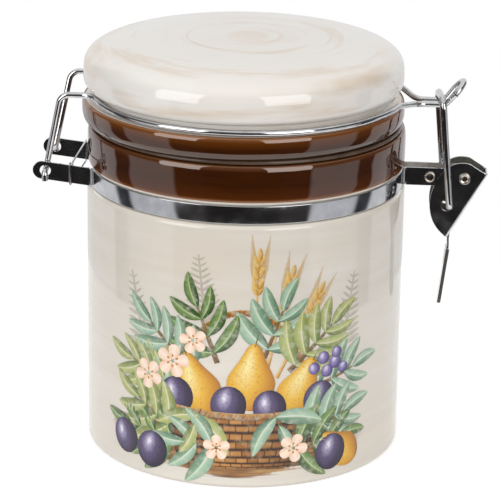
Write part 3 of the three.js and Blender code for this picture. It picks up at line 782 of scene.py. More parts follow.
def strap_half(side):
    """Half of the strap: the band round the groove and the two ears. side is -1 in front, 1 behind."""
    hinge_x, hinge_y = bend_centre(STRAP_RADIUS, EAR_BEND, HINGE_EAR_Y)
    latch_x, latch_y = bend_centre(STRAP_RADIUS, EAR_BEND, LATCH_EAR_Y)
    hinge_turn = math.degrees(math.atan2(hinge_y, -hinge_x))
    latch_turn = math.degrees(math.atan2(latch_y, latch_x))
    band = [
        *arc(-hinge_x, hinge_y, EAR_BEND, 90, hinge_turn + 180, 10),
        *arc(0, 0, STRAP_RADIUS, hinge_turn, latch_turn, 120)[1:-1],
        *arc(latch_x, latch_y, EAR_BEND, latch_turn + 180, 90, 10),
    ]
    parts = [strip("band", [(x, -side * y, STRAP_LEVEL) for x, y in band], STRAP_WIDTH)]
    half = STRAP_WIDTH / 2
    hinge_ear = [
        (-hinge_x, STRAP_LEVEL + half),
        *arc(HINGE_EAR_X, ear_level(HINGE_EAR_X), half, 90, 270, 24),
        (-hinge_x, STRAP_LEVEL - half),
    ]
    hinge_hole = (HINGE_X, ear_level(HINGE_X), HINGE_HOLE)
    parts.append(sheet("hinge_ear", hinge_ear, [hinge_hole], side * HINGE_EAR_Y))
    latch_ear = [
        (latch_x, STRAP_LEVEL - half),
        *arc(PIVOT_X, PIVOT_LEVEL, half, -90, 90, 24),
        (latch_x, STRAP_LEVEL + half),
    ]
    holes = [(EYELET_X, ear_level(EYELET_X), EYELET_HOLE), (PIVOT_X, PIVOT_LEVEL, PIVOT_HOLE)]
    parts.append(sheet("latch_ear", latch_ear, holes, side * LATCH_EAR_Y))
    return parts


for side, place in ((-1, "front"), (1, "back")):
    strap = joined(f"strap_{place}_band", strap_half(side))
    hold(strap, "jar", f"strap_{place}", [STRIP_STEEL, EAR_FACE])
    dull_inner_faces(strap, 1)


def lid_wire_route():
    """Hinge end, hinge arm, round the ledge, latch arm and thumb loop, and the same way back."""
    hinge_x, hinge_y = bend_centre(RING_RADIUS, RING_HINGE_BEND, SHOULDER_Y)
    hinge_turn = math.degrees(math.atan2(hinge_y, -hinge_x))
    hinge_level = ear_level(HINGE_X)
    on_ring = arc(-hinge_x, hinge_y, RING_HINGE_BEND, 90, hinge_turn + 180, 10)
    on_ring += arc(0, 0, RING_RADIUS, hinge_turn, ARM_LEAVE_TURN, 120)[1:]
    leave_x, leave_y = on_ring.pop()
    falls = [min(1, i / HINGE_RISE_STEPS) for i in range(len(on_ring))]
    levels = [RING_LEVEL + HINGE_RISE * (1 - f * f * (3 - 2 * f)) for f in falls]

    def loop(reach, y):
        """A point on the tilted thumb loop."""
        x = LOOP_START_X + reach * math.cos(LOOP_TILT)
        return Vector((x, y, LATCH_ARM_LEVEL + reach * math.sin(LOOP_TILT)))

    return both_ways(bent_route([
        (Vector((HINGE_X, -HINGE_TIP_Y, hinge_level - HINGE_TIP_LENGTH)), 0),
        (Vector((HINGE_X, -HINGE_TIP_Y, hinge_level)), TIGHT_BEND),
        (Vector((HINGE_X, -HINGE_ARM_Y, hinge_level)), TIGHT_BEND),
        (Vector((-hinge_x - ARM_SHOULDER, -SHOULDER_Y, RING_LEVEL + HINGE_RISE)), ARM_BEND),
        *[(Vector((x, y, z)), 0) for (x, y), z in zip(on_ring, levels)],
        (Vector((leave_x, leave_y, RING_LEVEL)), ARM_LEAVE_BEND),
        (Vector((ARM_CLOSE_X, -LATCH_ARM_Y, LATCH_ARM_LEVEL)), ARM_CLOSE_BEND),
        (loop(0, -LATCH_ARM_Y), TIGHT_BEND),
        (loop(LOOP_FLARE_LENGTH, -LOOP_HALF_WIDTH), TIGHT_BEND),
        (loop(LOOP_LENGTH, -LOOP_HALF_WIDTH), LOOP_HALF_WIDTH),
        (loop(LOOP_LENGTH, 0), 0),
    ]))


hold(wire("lid_wire_bent", lid_wire_route(), WIRE_RADIUS), "lid", "lid_wire", [WIRE_STEEL])


def bail_route():
    """From one turned-in end up a leg, over the lid wire's arms and down to the other end. It hangs a
    little askew in its loose holes."""
    x, z = from_pivot(BAIL_HOLE)
    middle = Vector(((x + CROSSBAR.x) / 2, 0, 0))
    skew = Quaternion((0, 0, 1), BAIL_SKEW)
    square = both_ways(bent_route([
        (Vector((x, -BAIL_END_Y, z)), 0),
        (Vector((x, -BAIL_LEG_Y, z)), TIGHT_BEND),
        (Vector((CROSSBAR.x, -BAIL_LEG_Y, CROSSBAR.z)), BAIL_BEND),
        (CROSSBAR, 0),
    ]))
    return [skew @ (p - middle) + middle for p in square]


hold(wire("bail_wire_bent", bail_route(), BAIL_RADIUS), "bail", "latch_bail", [WIRE_STEEL])


def tie_route():
    """Thin wire wound once round both hinge ears, with its ends twisted together on top."""
    front_x, back_x = TIE_FRONT_X, TIE_BACK_X
    off = TIE_RADIUS + TIE_GAP
    face_y = HINGE_EAR_Y + STRAP_THICKNESS / 2 + off
    tail_y = -HINGE_EAR_Y + STRAP_THICKNESS / 2 + off
    twist = 2 * TIE_RADIUS + TIE_TWIST_GAP
    half = STRAP_WIDTH / 2 + off
    front, back = ear_level(front_x), ear_level(back_x)
    return bent_route([
        (Vector((front_x, tail_y, front + off)), 0),
        (Vector((front_x, tail_y, front + half)), TIE_END_BEND),
        (Vector((front_x, -face_y, front + half)), TIE_END_BEND),
        (Vector((front_x, -face_y, front - half)), TIE_BEND),
        (Vector((back_x, face_y, back - half)), TIE_BEND),
        (Vector((back_x, face_y, back + half)), TIE_BEND),
        (Vector((front_x + twist, tail_y, front + half)), TIE_TWIST_BEND),
        (Vector((front_x + twist, tail_y, front + off)), 0),
    ])


hold(wire("tie_wire_wound", tie_route(), TIE_RADIUS), "jar", "hinge_tie_wire", [WIRE_STEEL])

# Eyelet through the latch ears, with rolled heads, and the tubular rivet that the lever turns on
eyelet_half = [EYELET_BARREL, *arc(*EYELET_ROLL, EYELET_ROLL_RADIUS, -60, 210, 14), EYELET_MOUTH]
eyelet_profile = eyelet_half + [(r, -z) for r, z in reversed(eyelet_half)] + eyelet_half[:1]
eyelet = turned_across("eyelet_rolled", eyelet_profile, EYELET_X, ear_level(EYELET_X))
hold(eyelet, "jar", "ear_eyelet", [NICKEL, BORE_SHADE])
shade_bore(eyelet, EYELET_X, ear_level(EYELET_X), EYELET_BORE)
rivet_rolled = arc(*RIVET_ROLL, RIVET_ROLL_RADIUS, -20, 100, 8)
rivet_half = [RIVET_SHANK, RIVET_BRIM, *rivet_rolled, *RIVET_DIMPLE]
rivet_profile = [(r, -z) for r, z in reversed(rivet_half)] + rivet_half
rivet = turned_across("rivet_headed", rivet_profile, PIVOT_X, PIVOT_LEVEL)
hold(rivet, "jar", "lever_pivot_rivet", [NICKEL, BORE_SHADE])
shade_bore(rivet, PIVOT_X, PIVOT_LEVEL, RIVET_BORE)


def tongue(name, route, thickness, break_width):
    """A length of the handle tongue: a strip drawn out row by row along its route, with a round end."""
    bpy.ops.mesh.primitive_plane_add(size=1)
    piece = bpy.context.object
    piece.name = name
    half = HANDLE_WIDTH / 2
    (x0, z0), (x1, z1) = route[:2]
    rows = {-1: (x0, z0), 1: (x1, z1)}
    for vertex in piece.data.vertices:
        x, z = rows[1 if vertex.co.x > 0 else -1]
        vertex.co = (x * MM, math.copysign(half, vertex.co.y) * MM, z * MM)
    bpy.ops.object.mode_set(mode="EDIT")
    bpy.ops.mesh.select_all(action="DESELECT")
    bpy.ops.object.mode_set(mode="OBJECT")
    for edge in piece.data.edges:
        ends = [piece.data.vertices[i].co for i in edge.vertices]
        edge.select = all(abs(end.z / MM - z1) < SAME_LEVEL for end in ends)
    bpy.ops.object.mode_set(mode="EDIT")
    bpy.ops.mesh.select_mode(type="EDGE")
    bottom = route[-1][1]
    width = half
    for (last_x, last_z), (x, z) in zip(route[1:], route[2:]):
        step = ((x - last_x) * MM, 0, (z - last_z) * MM)
        bpy.ops.mesh.extrude_region_move(TRANSFORM_OT_translate={"value": step})
        above = min(half, z - bottom)
        new_width = max(HANDLE_TIP_HALF, math.sqrt(half * half - (half - above) ** 2))
        bpy.ops.transform.resize(value=(1, new_width / width, 1), center_override=(x * MM, 0, z * MM))
        width = new_width
    bpy.ops.object.mode_set(mode="OBJECT")
    thick = piece.modifiers.new("sheet", "SOLIDIFY")
    thick.thickness = thickness * MM
    thick.offset = 0
    broken = piece.modifiers.new("broken_edge", "BEVEL")
    broken.width = break_width * MM
    broken.segments = 4
    broken.limit_method = "ANGLE"
    broken.angle_limit = math.radians(50)
    bpy.ops.object.modifier_apply(modifier="sheet")
    bpy.ops.object.modifier_apply(modifier="broken_edge")
    return finish_mesh(piece, 20)


def lever_parts():
    """Two side plates, the web that joins them along the outer edge, and the handle tongue."""
    corner, tip, brow, top = [from_pivot(p) for p in (LEVER_CORNER, LEVER_TIP, LEVER_BROW, LEVER_TOP)]
    low, high, crest = [from_pivot(p) for p in (LEVER_LOW_BULGE, LEVER_HIGH_BULGE, LEVER_CROWN)]
    down = Vector((tip[0] - corner[0], tip[1] - corner[1])).normalized()
    inward = Vector((down.y, -down.x))
    fold = [Vector(end) + inward * FOLD_RADIUS for end in (corner, tip)]
    outline = [*fold, *bezier([tip, low, high, brow], 32), *bezier([brow, crest, top], 14)]
    holes = [(*from_pivot(BAIL_HOLE), BAIL_HOLE_RADIUS), (PIVOT_X, PIVOT_LEVEL, PIVOT_HOLE)]
    parts = [sheet("side_plate", outline, holes, side * LEVER_PLATE_Y) for side in (-1, 1)]
    fold_y = LEVER_OUTER_Y - FOLD_RADIUS
    parts += [wire("fold", [(p.x, side * fold_y, p.y) for p in fold], FOLD_RADIUS) for side in (-1, 1)]
    web = [Vector(end) + inward * (LEVER_SHEET / 2) for end in (corner, tip)]
    parts.append(strip("web", [(p.x, p.y, 0) for p in web], 2 * fold_y + LEVER_SHEET, True))
    start = web[1]
    crook, neck, knee, end = [from_pivot(p) for p in (HANDLE_CROOK, HANDLE_NECK, HANDLE_KNEE, HANDLE_END)]
    root = tuple(start - down * HANDLE_ROOT_LAP)
    parts.append(tongue("neck", bezier([root, tuple(start), crook, neck], 20), LEVER_SHEET, EDGE_BREAK))
    blade = [neck, *bezier([neck, knee, end], 30)]
    parts.append(tongue("doubled_blade", blade, 2 * LEVER_SHEET, BLADE_BREAK))
    return parts


lever = joined("lever_folded", lever_parts())
hold(lever, "lever", "latch_lever", [STRIP_STEEL, CUT_STEEL, SHADED_PLATE_FACE])
bare_tongue_edge(lever)
# The plates' inner faces, between the two plates, take the painted shade
dull_inner_faces(lever, 2)


def fire_ink(tree, ink, wash, gloss=0.05, ior=1.52):
    """Ends an ink: fired into the glaze, it shines with it, a little less where its wash is thick."""
    haze = add(tree, "MapRange", {0: wash.outputs[0], 1: 0.3, 2: 0.7, 3: gloss, 4: gloss + INK_HAZE})
    shader = add(tree, "BsdfPrincipled", {
        "Base Color": ink.outputs[2], "Roughness": haze.outputs[0], "IOR": ior,
    })
    finish_material(tree, shader)


def transfer_ink(name, across, tip, tip_share):
    """Transfer print fired into the glaze, in a watercolour manner: one side of a motif in light and the
    other in shade, a tip of another hue, and washes so thin that the cream shows through."""
    material, tree = new_material(name)
    coords = add(tree, "TexCoord")
    parts = add(tree, "SeparateXYZ", {0: coords.outputs["UV"]})
    sides = add(tree, "ValToRGB", {0: parts.outputs[0]}, stops=across)
    upper = add(tree, "MapRange", {0: parts.outputs[1], 1: 0.3, 2: 1.0, 3: 0.0, 4: tip_share})
    tone = add(tree, "Mix", {0: upper.outputs[0], 6: sides.outputs[0], 7: linear(tip)}, data_type="RGBA")
    wash = add(tree, "TexNoise", {"Vector": coords.outputs["Object"], "Scale": 1 / (1.8 * MM), "Detail": 3})
    thin = add(tree, "MapRange", {0: wash.outputs[0], 1: 0.48, 2: 0.75, 3: 0.0, 4: 0.45})
    ink = add(tree, "Mix", {0: thin.outputs[0], 6: tone.outputs[2], 7: linear(CREAM_TONE)}, data_type="RGBA")
    fire_ink(tree, ink, wash)
    return material


def fruit_ink(name, stops, freckle):
    """The same print on round fruit: a soft light high on the left, a darker rim and fine freckles."""
    material, tree = new_material(name)
    coords = add(tree, "TexCoord")
    reach = add(tree, "VectorMath", {0: coords.outputs["UV"], 1: (0.36, 0.62, 0)}, operation="DISTANCE")
    round_tone = add(tree, "ValToRGB", {0: reach.outputs["Value"]}, stops=stops)
    spots = add(tree, "TexNoise", {"Vector": coords.outputs["Object"], "Scale": 1 / (0.7 * MM), "Detail": 3})
    share = add(tree, "MapRange", {0: spots.outputs[0], 1: 0.52, 2: 0.7, 3: 0.0, 4: 0.5})
    ink = add(tree, "Mix", {
        0: share.outputs[0], 6: round_tone.outputs[0], 7: linear(freckle),
    }, data_type="RGBA")
    fire_ink(tree, ink, spots)
    return material


def basket_ink():
    """The printed basket: rows of round cane that pass over and under, darker at both sides."""
    material, tree = new_material("printed_basket_ink")
    coords = add(tree, "TexCoord")
    size = (BASKET_WIDTH, BASKET_HEIGHT, 1)
    flat = add(tree, "Mapping", {0: coords.outputs["UV"], 3: size})
    cane = add(tree, "TexBrick", {
        "Vector": flat.outputs[0], "Color1": linear("#cf9c5c"), "Color2": linear("#a06c34"),
        "Mortar": linear("#4a2c14"), "Scale": 1.0, "Mortar Size": 0.4, "Mortar Smooth": 1.0,
        "Brick Width": CANE_STITCH, "Row Height": CANE_HEIGHT,
    })
    rows = add(tree, "TexWave", {
        "Vector": flat.outputs[0], "Scale": math.tau / (20 * CANE_HEIGHT),
    }, bands_direction="Y")
    round_row = add(tree, "ValToRGB", {0: rows.outputs[1]}, stops=[(0.0, "#8f7f70"), (0.7, "#ffffff")])
    round_cane = add(tree, "Mix", {
        0: 1.0, 6: cane.outputs[0], 7: round_row.outputs[0],
    }, data_type="RGBA", blend_type="MULTIPLY")
    across = add(tree, "SeparateXYZ", {0: coords.outputs["UV"]}).outputs[0]
    shade = add(tree, "ValToRGB", {0: across}, stops=[
        (0.0, "#6f6055"), (0.3, "#fff4e2"), (0.6, "#e3d3bf"), (1.0, "#57493f"),
    ])
    round_tone = add(tree, "Mix", {
        0: 1.0, 6: round_cane.outputs[2], 7: shade.outputs[0],
    }, data_type="RGBA", blend_type="MULTIPLY")
    wash = add(tree, "TexNoise", {"Vector": coords.outputs["Object"], "Scale": 1 / (2.5 * MM), "Detail": 3})
    thin = add(tree, "MapRange", {0: wash.outputs[0], 1: 0.5, 2: 0.75, 3: 0.0, 4: 0.35})
    ink = add(tree, "Mix", {
        0: thin.outputs[0], 6: round_tone.outputs[2], 7: linear("#d7b98a"),
    }, data_type="RGBA")
    fire_ink(tree, ink, wash)
    return material


def ground_ink():
    """The printed ground: a brown wash with level brush marks that fades into the cream at its edges."""
    material, tree = new_material("printed_ground_ink")
    coords = add(tree, "TexCoord")
    drawn = add(tree, "Mapping", {0: coords.outputs["Object"], 3: (0.12, 0.12, 1)})
    marks = add(tree, "TexNoise", {"Vector": drawn.outputs[0], "Scale": 1 / (1.4 * MM), "Detail": 4})
    tone = add(tree, "ValToRGB", {0: marks.outputs[0]}, stops=[
        (0.3, "#5f3c1c"), (0.5, "#94683a"), (0.7, "#b9935f"),
    ])
    middle = add(tree, "VectorMath", {0: coords.outputs["UV"], 1: (0.5, 0.5, 0)}, operation="SUBTRACT")
    reach = add(tree, "VectorMath", {0: middle.outputs[0]}, operation="LENGTH")
    ragged = add(tree, "Math", {0: marks.outputs[0], 1: 0.16}, operation="MULTIPLY")
    edge = add(tree, "Math", {0: reach.outputs["Value"], 1: ragged.outputs[0]}, operation="ADD")
    fade = add(tree, "MapRange", {0: edge.outputs[0], 1: 0.46, 2: 0.6})
    ink = add(tree, "Mix", {0: fade.outputs[0], 6: tone.outputs[0], 7: linear(CREAM_TONE)}, data_type="RGBA")
    fire_ink(tree, ink, marks, 0.04, 1.55)
    return material


def motif(name, width, height, columns, rows, outline, ink, bow=0):
    """A flat printed shape that stands on its foot: a sheet in rows, each as wide as outline gives for
    its height from 0 to 1. Its UV map runs across and up. bow is how far its middle swings aside."""
    bpy.ops.mesh.primitive_grid_add(x_subdivisions=columns, y_subdivisions=rows, size=1)
    piece = bpy.context.object
    piece.name = name
    piece.rotation_euler = (math.radians(90), 0, 0)
    piece.scale = (width * MM, height * MM, 1)
    piece.location = (0, 0, height / 2 * MM)
    bpy.ops.object.transform_apply(location=True, rotation=True, scale=True)
    for vertex in piece.data.vertices:
        part = vertex.co.z / (height * MM)
        eased = (1 - math.cos(math.pi * part)) / 2
        vertex.co.x = vertex.co.x * outline(eased) + bow * MM * math.sin(math.pi * eased)
        vertex.co.z = eased * height * MM
    bpy.ops.object.shade_smooth()
    piece.data.materials.append(ink)
    MOTIFS.append(piece)
    return piece


def stamp(shape, u, v, turn, size, layer):
    """A copy of a motif on the unrolled wall: u mm round from the front's middle and v mm up, turned
    clockwise in degrees. A higher layer lies over a lower one."""
    copy = shape.copy()
    copy.data = shape.data.copy()
    lift = PRINT_LIFT + LAYER_LIFT * layer
    place = Matrix.Translation((u * MM, -lift * MM, v * MM))
    copy.data.transform(place @ Matrix.Rotation(math.radians(turn), 4, "Y") @ Matrix.Scale(size, 4))
    bpy.context.scene.collection.objects.link(copy)
    return copy


def printed(name, stamps):
    """Joins stamps into one print, and wraps it round the jar's wall."""
    piece = joined(name, stamps)
    wrap = piece.modifiers.new("wrap", "SIMPLE_DEFORM")
    wrap.deform_method = "BEND"
    wrap.deform_axis = "Z"
    wrap.angle = piece.dimensions.x / (BODY_RADIUS * MM)
    bpy.ops.object.modifier_apply(modifier="wrap")
    piece.location = (0, -BODY_RADIUS * MM, 0)
    bpy.ops.object.transform_apply(location=True, rotation=True, scale=True)
    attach(piece, "jar")


def along(u, v, turn, reach):
    """The point at a reach from (u, v), in the direction turned clockwise from straight up."""
    return u + reach * math.sin(math.radians(turn)), v + reach * math.cos(math.radians(turn))


def sprig(leaf_pair, u, v, turn, reach, pairs, layer):
    """A stalk with leaves in pairs, smaller towards its tip, and one leaf at the end."""
    stamps = [stamp(STALK, u, v, turn, reach / STALK_LENGTH, layer)]
    for i in range(pairs):
        foot = along(u, v, turn, reach * (i + 0.6) / (pairs + 0.4))
        size = 1.08 - 0.36 * i / pairs
        spread = 58 - 26 * i / pairs
        over = layer + 0.2 * (i % 3)
        stamps.append(stamp(leaf_pair[0], *foot, turn - spread, size, over + 0.4))
        stamps.append(stamp(leaf_pair[1], *foot, turn + spread - 7, 0.94 * size, over + 1.2))
    tip = along(u, v, turn, reach * 0.97)
    stamps.append(stamp(leaf_pair[0], *tip, turn + 4, 0.8, layer + 2))
    return stamps


def blossom(u, v, turn, size, layer):
    """Overlapping petals round a ring of anthers."""
    stamps = []
    for i in range(PETALS):
        way = turn + 360 / PETALS * i
        stamps.append(stamp(PETAL, *along(u, v, way, 0.5), way, size, layer + 0.3 * i))
    for i in range(ANTHERS):
        way = 360 / ANTHERS * i
        stamps.append(stamp(ANTHER, *along(u, v, way, 1.1 * size), way, size, layer + 2 + 0.1 * i))
    return stamps


def wheat_ear(u, v, turn, reach, layer):
    """A straw with a head of grain: two rows that lean out, each grain with its awn, and one at the tip."""
    stamps = [stamp(STRAW, u, v, turn, reach / STALK_LENGTH, layer)]
    for i in range(GRAIN_PAIRS):
        foot = along(u, v, turn, reach + GRAIN_PITCH * i)
        for side in (-1, 1):
            lean = turn + GRAIN_LEAN * side
            stamps.append(stamp(GRAIN, *foot, lean, 1, layer + 0.5 + 0.2 * (i % 2)))
            stamps.append(stamp(AWN, *along(*foot, lean, 3), turn + AWN_LEAN * side, 1, layer + 0.2))
    tip = along(u, v, turn, reach + GRAIN_PITCH * GRAIN_PAIRS)
    stamps.append(stamp(GRAIN, *tip, turn, 1.05, layer + 1))
    return stamps


def fern(u, v, turn, reach, layer):
    """A pale pencilled fern: a rib with fine leaflets that shorten towards its tip."""
    stamps = [stamp(FERN_RIB, u, v, turn, reach / STALK_LENGTH, layer)]
    for i in range(LEAFLET_PAIRS):
        foot = along(u, v, turn, reach * (i + 1) / (LEAFLET_PAIRS + 1))
        size = 1.15 - 0.85 * i / LEAFLET_PAIRS
        for side in (-1, 1):
            lean = turn + LEAFLET_LEAN * side
            stamps.append(stamp(LEAFLET, *foot, lean, size, layer + 0.3 + 0.2 * (i % 2)))
    return stamps


def leaf_outline(part):
    """Pointed at both ends and widest below the middle."""
    return (4 * part * (1 - part)) ** 0.72 * (1.12 - 0.28 * part)


def round_outline(part):
    """A full oval."""
    return 2 * math.sqrt(part * (1 - part))


def pear_outline(part):
    """A round belly that narrows to a neck."""
    neck = min(1, max(0, (part - 0.35) / 0.5))
    return (4 * part * (1 - part)) ** 0.5 * (1 - 0.46 * neck * neck * (3 - 2 * neck))


def petal_outline(part):
    """Round, and wider towards the tip."""
    return (4 * part * (1 - part)) ** 0.5 * (0.55 + 0.6 * part)


def stalk_outline(part):
    """Straight, and thinner towards the tip."""
    return 1.15 - 0.65 * part


def basket_outline(part):
    """A tub that widens towards its rim."""
    return 0.8 + 0.2 * math.sin(math.pi / 2 * part)


# Inks of the print, each named for what it colours
yellow_green = transfer_ink("printed_yellow_green_leaf", [
    (0.0, "#8a9a50"), (0.42, "#b5ba7a"), (0.5, "#e2dfb6"), (0.58, "#869552"), (1.0, "#55682f"),
], "#c6c680", 0.55)
blue_green = transfer_ink("printed_blue_green_leaf", [
    (0.0, "#7d9f88"), (0.42, "#a9c4ac"), (0.5, "#dde6d2"), (0.58, "#76997c"), (1.0, "#436652"),
], "#b5cfae", 0.5)
dark_green = transfer_ink("printed_dark_green_leaf", [
    (0.0, "#4e6a3b"), (0.42, "#7f9a5e"), (0.5, "#c3cfa0"), (0.58, "#4d6d3c"), (1.0, "#2b4423"),
], "#86a25a", 0.4)
pear_skin = fruit_ink("printed_pear_skin", [
    (0.05, "#f6e39a"), (0.28, "#e6b53f"), (0.52, "#c98a24"), (0.75, "#8f5a1c"),
], "#b9791f")
plum_skin = fruit_ink("printed_plum_skin", [
    (0.03, "#e2deea"), (0.11, "#a097b6"), (0.24, "#5b4f74"), (0.46, "#362a49"), (0.7, "#1a1323"),
], "#2a1f38")
berry_skin = fruit_ink("printed_berry_skin", [
    (0.03, "#d9d4ea"), (0.25, "#8d7fb4"), (0.5, "#5a4a85"), (0.75, "#33264f"),
], "#463a6e")
peach_petal = transfer_ink("printed_peach_petal", [
    (0.0, "#f2c6a4"), (0.5, "#fbe6d3"), (1.0, "#eab592"),
], "#f9e3d2", 0.6)
anther_yellow = transfer_ink("printed_anther", [(0.0, "#d39a2c"), (1.0, "#a8701c")], "#8a4f16", 0.6)
ripe_grain = transfer_ink("printed_grain", [
    (0.0, "#e2c27a"), (0.5, "#d3a34e"), (1.0, "#9c6c2a"),
], "#efd9a0", 0.4)
cane_brown = transfer_ink("printed_cane", [
    (0.0, "#c39457"), (0.5, "#96672f"), (1.0, "#5a3817"),
], "#c9a06a", 0.5)
twig_brown = transfer_ink("printed_twig", [(0.0, "#8a6a42"), (1.0, "#543819")], "#7f8a4a", 0.6)
pencil_grey = transfer_ink("printed_pencil", [(0.0, "#c4bcae"), (1.0, "#aea595")], "#cbc4b7", 0.5)

# Motifs of the print, which are stamped and then removed
MOTIFS = []
yellow_leaves, blue_leaves, dark_leaves = [
    (
        motif("leaf_left", 5.4, 15, 6, 14, leaf_outline, ink, -1),
        motif("leaf_right", 5, 15, 6, 14, leaf_outline, ink, 1.2),
    )
    for ink in (yellow_green, blue_green, dark_green)
]
STALK = motif("stalk", 0.8, STALK_LENGTH, 2, 16, stalk_outline, twig_brown)
STRAW = motif("straw", 0.6, STALK_LENGTH, 2, 16, stalk_outline, ripe_grain)
FERN_RIB = motif("fern_rib", 0.45, STALK_LENGTH, 2, 18, stalk_outline, pencil_grey)
PEAR = motif("pear", 15.5, 22, 16, 20, pear_outline, pear_skin)
PLUM = motif("plum", 11.4, 12.6, 12, 12, round_outline, plum_skin)
BERRY = motif("berry", 4.4, 4.4, 6, 6, round_outline, berry_skin)
PETAL = motif("petal", 4.6, 5, 6, 6, petal_outline, peach_petal)
ANTHER = motif("anther", 0.7, 1.1, 2, 4, round_outline, anther_yellow)
GRAIN = motif("grain", 1.9, 4.4, 4, 6, leaf_outline, ripe_grain)
AWN = motif("awn", 0.3, 8, 2, 8, stalk_outline, ripe_grain)
LEAFLET = motif("leaflet", 1.5, 6.5, 2, 6, leaf_outline, pencil_grey)
CANE = motif("cane", 1.9, 3.6, 4, 5, leaf_outline, cane_brown)
BASKET = motif("basket", BASKET_WIDTH, BASKET_HEIGHT, 44, 10, basket_outline, basket_ink())
GROUND = motif("ground", 94, 22, 72, 14, round_outline, ground_ink())

# The print, from its back layers to its front ones
handle = []
for i in range(BASKET_HANDLE_CANES):
    swing = math.pi * i / (BASKET_HANDLE_CANES - 1)
    u = BASKET_MIDDLE - BASKET_HANDLE_REACH * math.cos(swing)
    v = BASKET_HANDLE_FOOT + BASKET_HANDLE_RISE * math.sin(swing)
    lean = math.atan2(BASKET_HANDLE_REACH * math.sin(swing), BASKET_HANDLE_RISE * math.cos(swing))
    handle.append(stamp(CANE, u, v, math.degrees(lean) + BASKET_HANDLE_LEAN, 1, 4 + 0.2 * (i % 3)))
printed("printed_ground", [stamp(GROUND, 0, 3.5, 0, 1, 0)])
printed("printed_ferns", fern(-31, 40, -12, 30, 1) + fern(36, 44, 10, 27, 1) + fern(-10, 55, -6, 24, 1))
printed("printed_wheat", [
    *wheat_ear(9, 38, 14, 23, 3), *wheat_ear(13, 38, 27, 19, 3), *wheat_ear(5, 40, 3, 26, 3),
])
printed("printed_basket_handle", handle)
printed("printed_back_leaves", [
    *sprig(yellow_leaves, -17, 33, -72, 21, 4, 6), *sprig(blue_leaves, -13, 38, -46, 23, 4, 7),
    *sprig(dark_leaves, -6, 43, -20, 20, 3, 6), *sprig(blue_leaves, 9, 45, 20, 17, 3, 6),
    *sprig(yellow_leaves, 17, 40, 47, 21, 4, 7), *sprig(blue_leaves, 24, 33, 74, 18, 3, 6),
])
printed("printed_fruit", [
    stamp(PEAR, -9, 25, -20, 1, 10), stamp(PEAR, 17, 24, 22, 0.98, 10),
    stamp(PEAR, 4, 27, 5, 1.05, 10.6), stamp(STALK, -16, 44.5, -32, 0.5, 11.4),
    stamp(STALK, 25.2, 43, 30, 0.5, 11.4), stamp(STALK, 6, 49, 14, 0.5, 11.4),
    stamp(PLUM, -18, 24.5, -14, 1, 11.5), stamp(PLUM, 26, 23.5, 16, 0.98, 11.5),
    stamp(PLUM, -3, 22.5, 6, 1.02, 12), stamp(PLUM, 12, 22, -10, 0.96, 12.4),
])
printed("printed_basket", [stamp(BASKET, BASKET_MIDDLE, BASKET_FOOT, 0, 1, 13.2)])
rim = []
for i in range(BASKET_RIM_CANES):
    u = BASKET_RIM_START + BASKET_RIM_PITCH * i
    v = BASKET_RIM_LEVEL - BASKET_RIM_SAG * math.sin(math.pi * i / (BASKET_RIM_CANES - 1))
    rim.append(stamp(CANE, u, v, BASKET_RIM_LEAN, 1.1, 14 + 0.2 * (i % 3)))
printed("printed_basket_rim", rim)
printed("printed_ground_fruit", [
    stamp(PLUM, -38, 6, -20, 0.96, 19), stamp(PLUM, -30, 3.6, 12, 1.02, 19.6),
    stamp(PLUM, 31, 4, 14, 1, 19.6), stamp(PEAR, 43, 5.5, -50, 0.8, 19),
])
printed("printed_front_leaves", [
    *sprig(dark_leaves, -18, 15, -84, 20, 3, 15), *sprig(yellow_leaves, -20, 18, -58, 17, 3, 16),
    *sprig(blue_leaves, 22, 17, 68, 17, 3, 15), *sprig(dark_leaves, 17, 13.5, 86, 19, 3, 16),
    *sprig(yellow_leaves, -11, 27, -158, 6, 1, 17), *sprig(blue_leaves, 12, 27, 158, 6, 1, 17),
    *sprig(blue_leaves, -4, 14.5, -88, 13, 2, 17),
])
printed("printed_flowers", [
    *blossom(-21, 42, 10, 1.05, 19), *blossom(-30, 36, 40, 0.95, 19), *blossom(-14, 50, -15, 0.85, 19),
    *blossom(19, 13.5, 25, 0.9, 20), *blossom(-6, 14, 0, 0.8, 20),
])
printed("printed_berries", [
    stamp(BERRY, 29, 41, 0, 1, 18), stamp(BERRY, 32.6, 39, 20, 1.05, 18.4),
    stamp(BERRY, 26.4, 38, -20, 0.95, 18.8), stamp(BERRY, 30, 36.4, 10, 1, 19.2),
    stamp(BERRY, 34, 42.4, 0, 0.9, 19.6), stamp(BERRY, 35.6, 37, 30, 0.9, 20),
])
for shape in MOTIFS:
    bpy.data.objects.remove(shape)


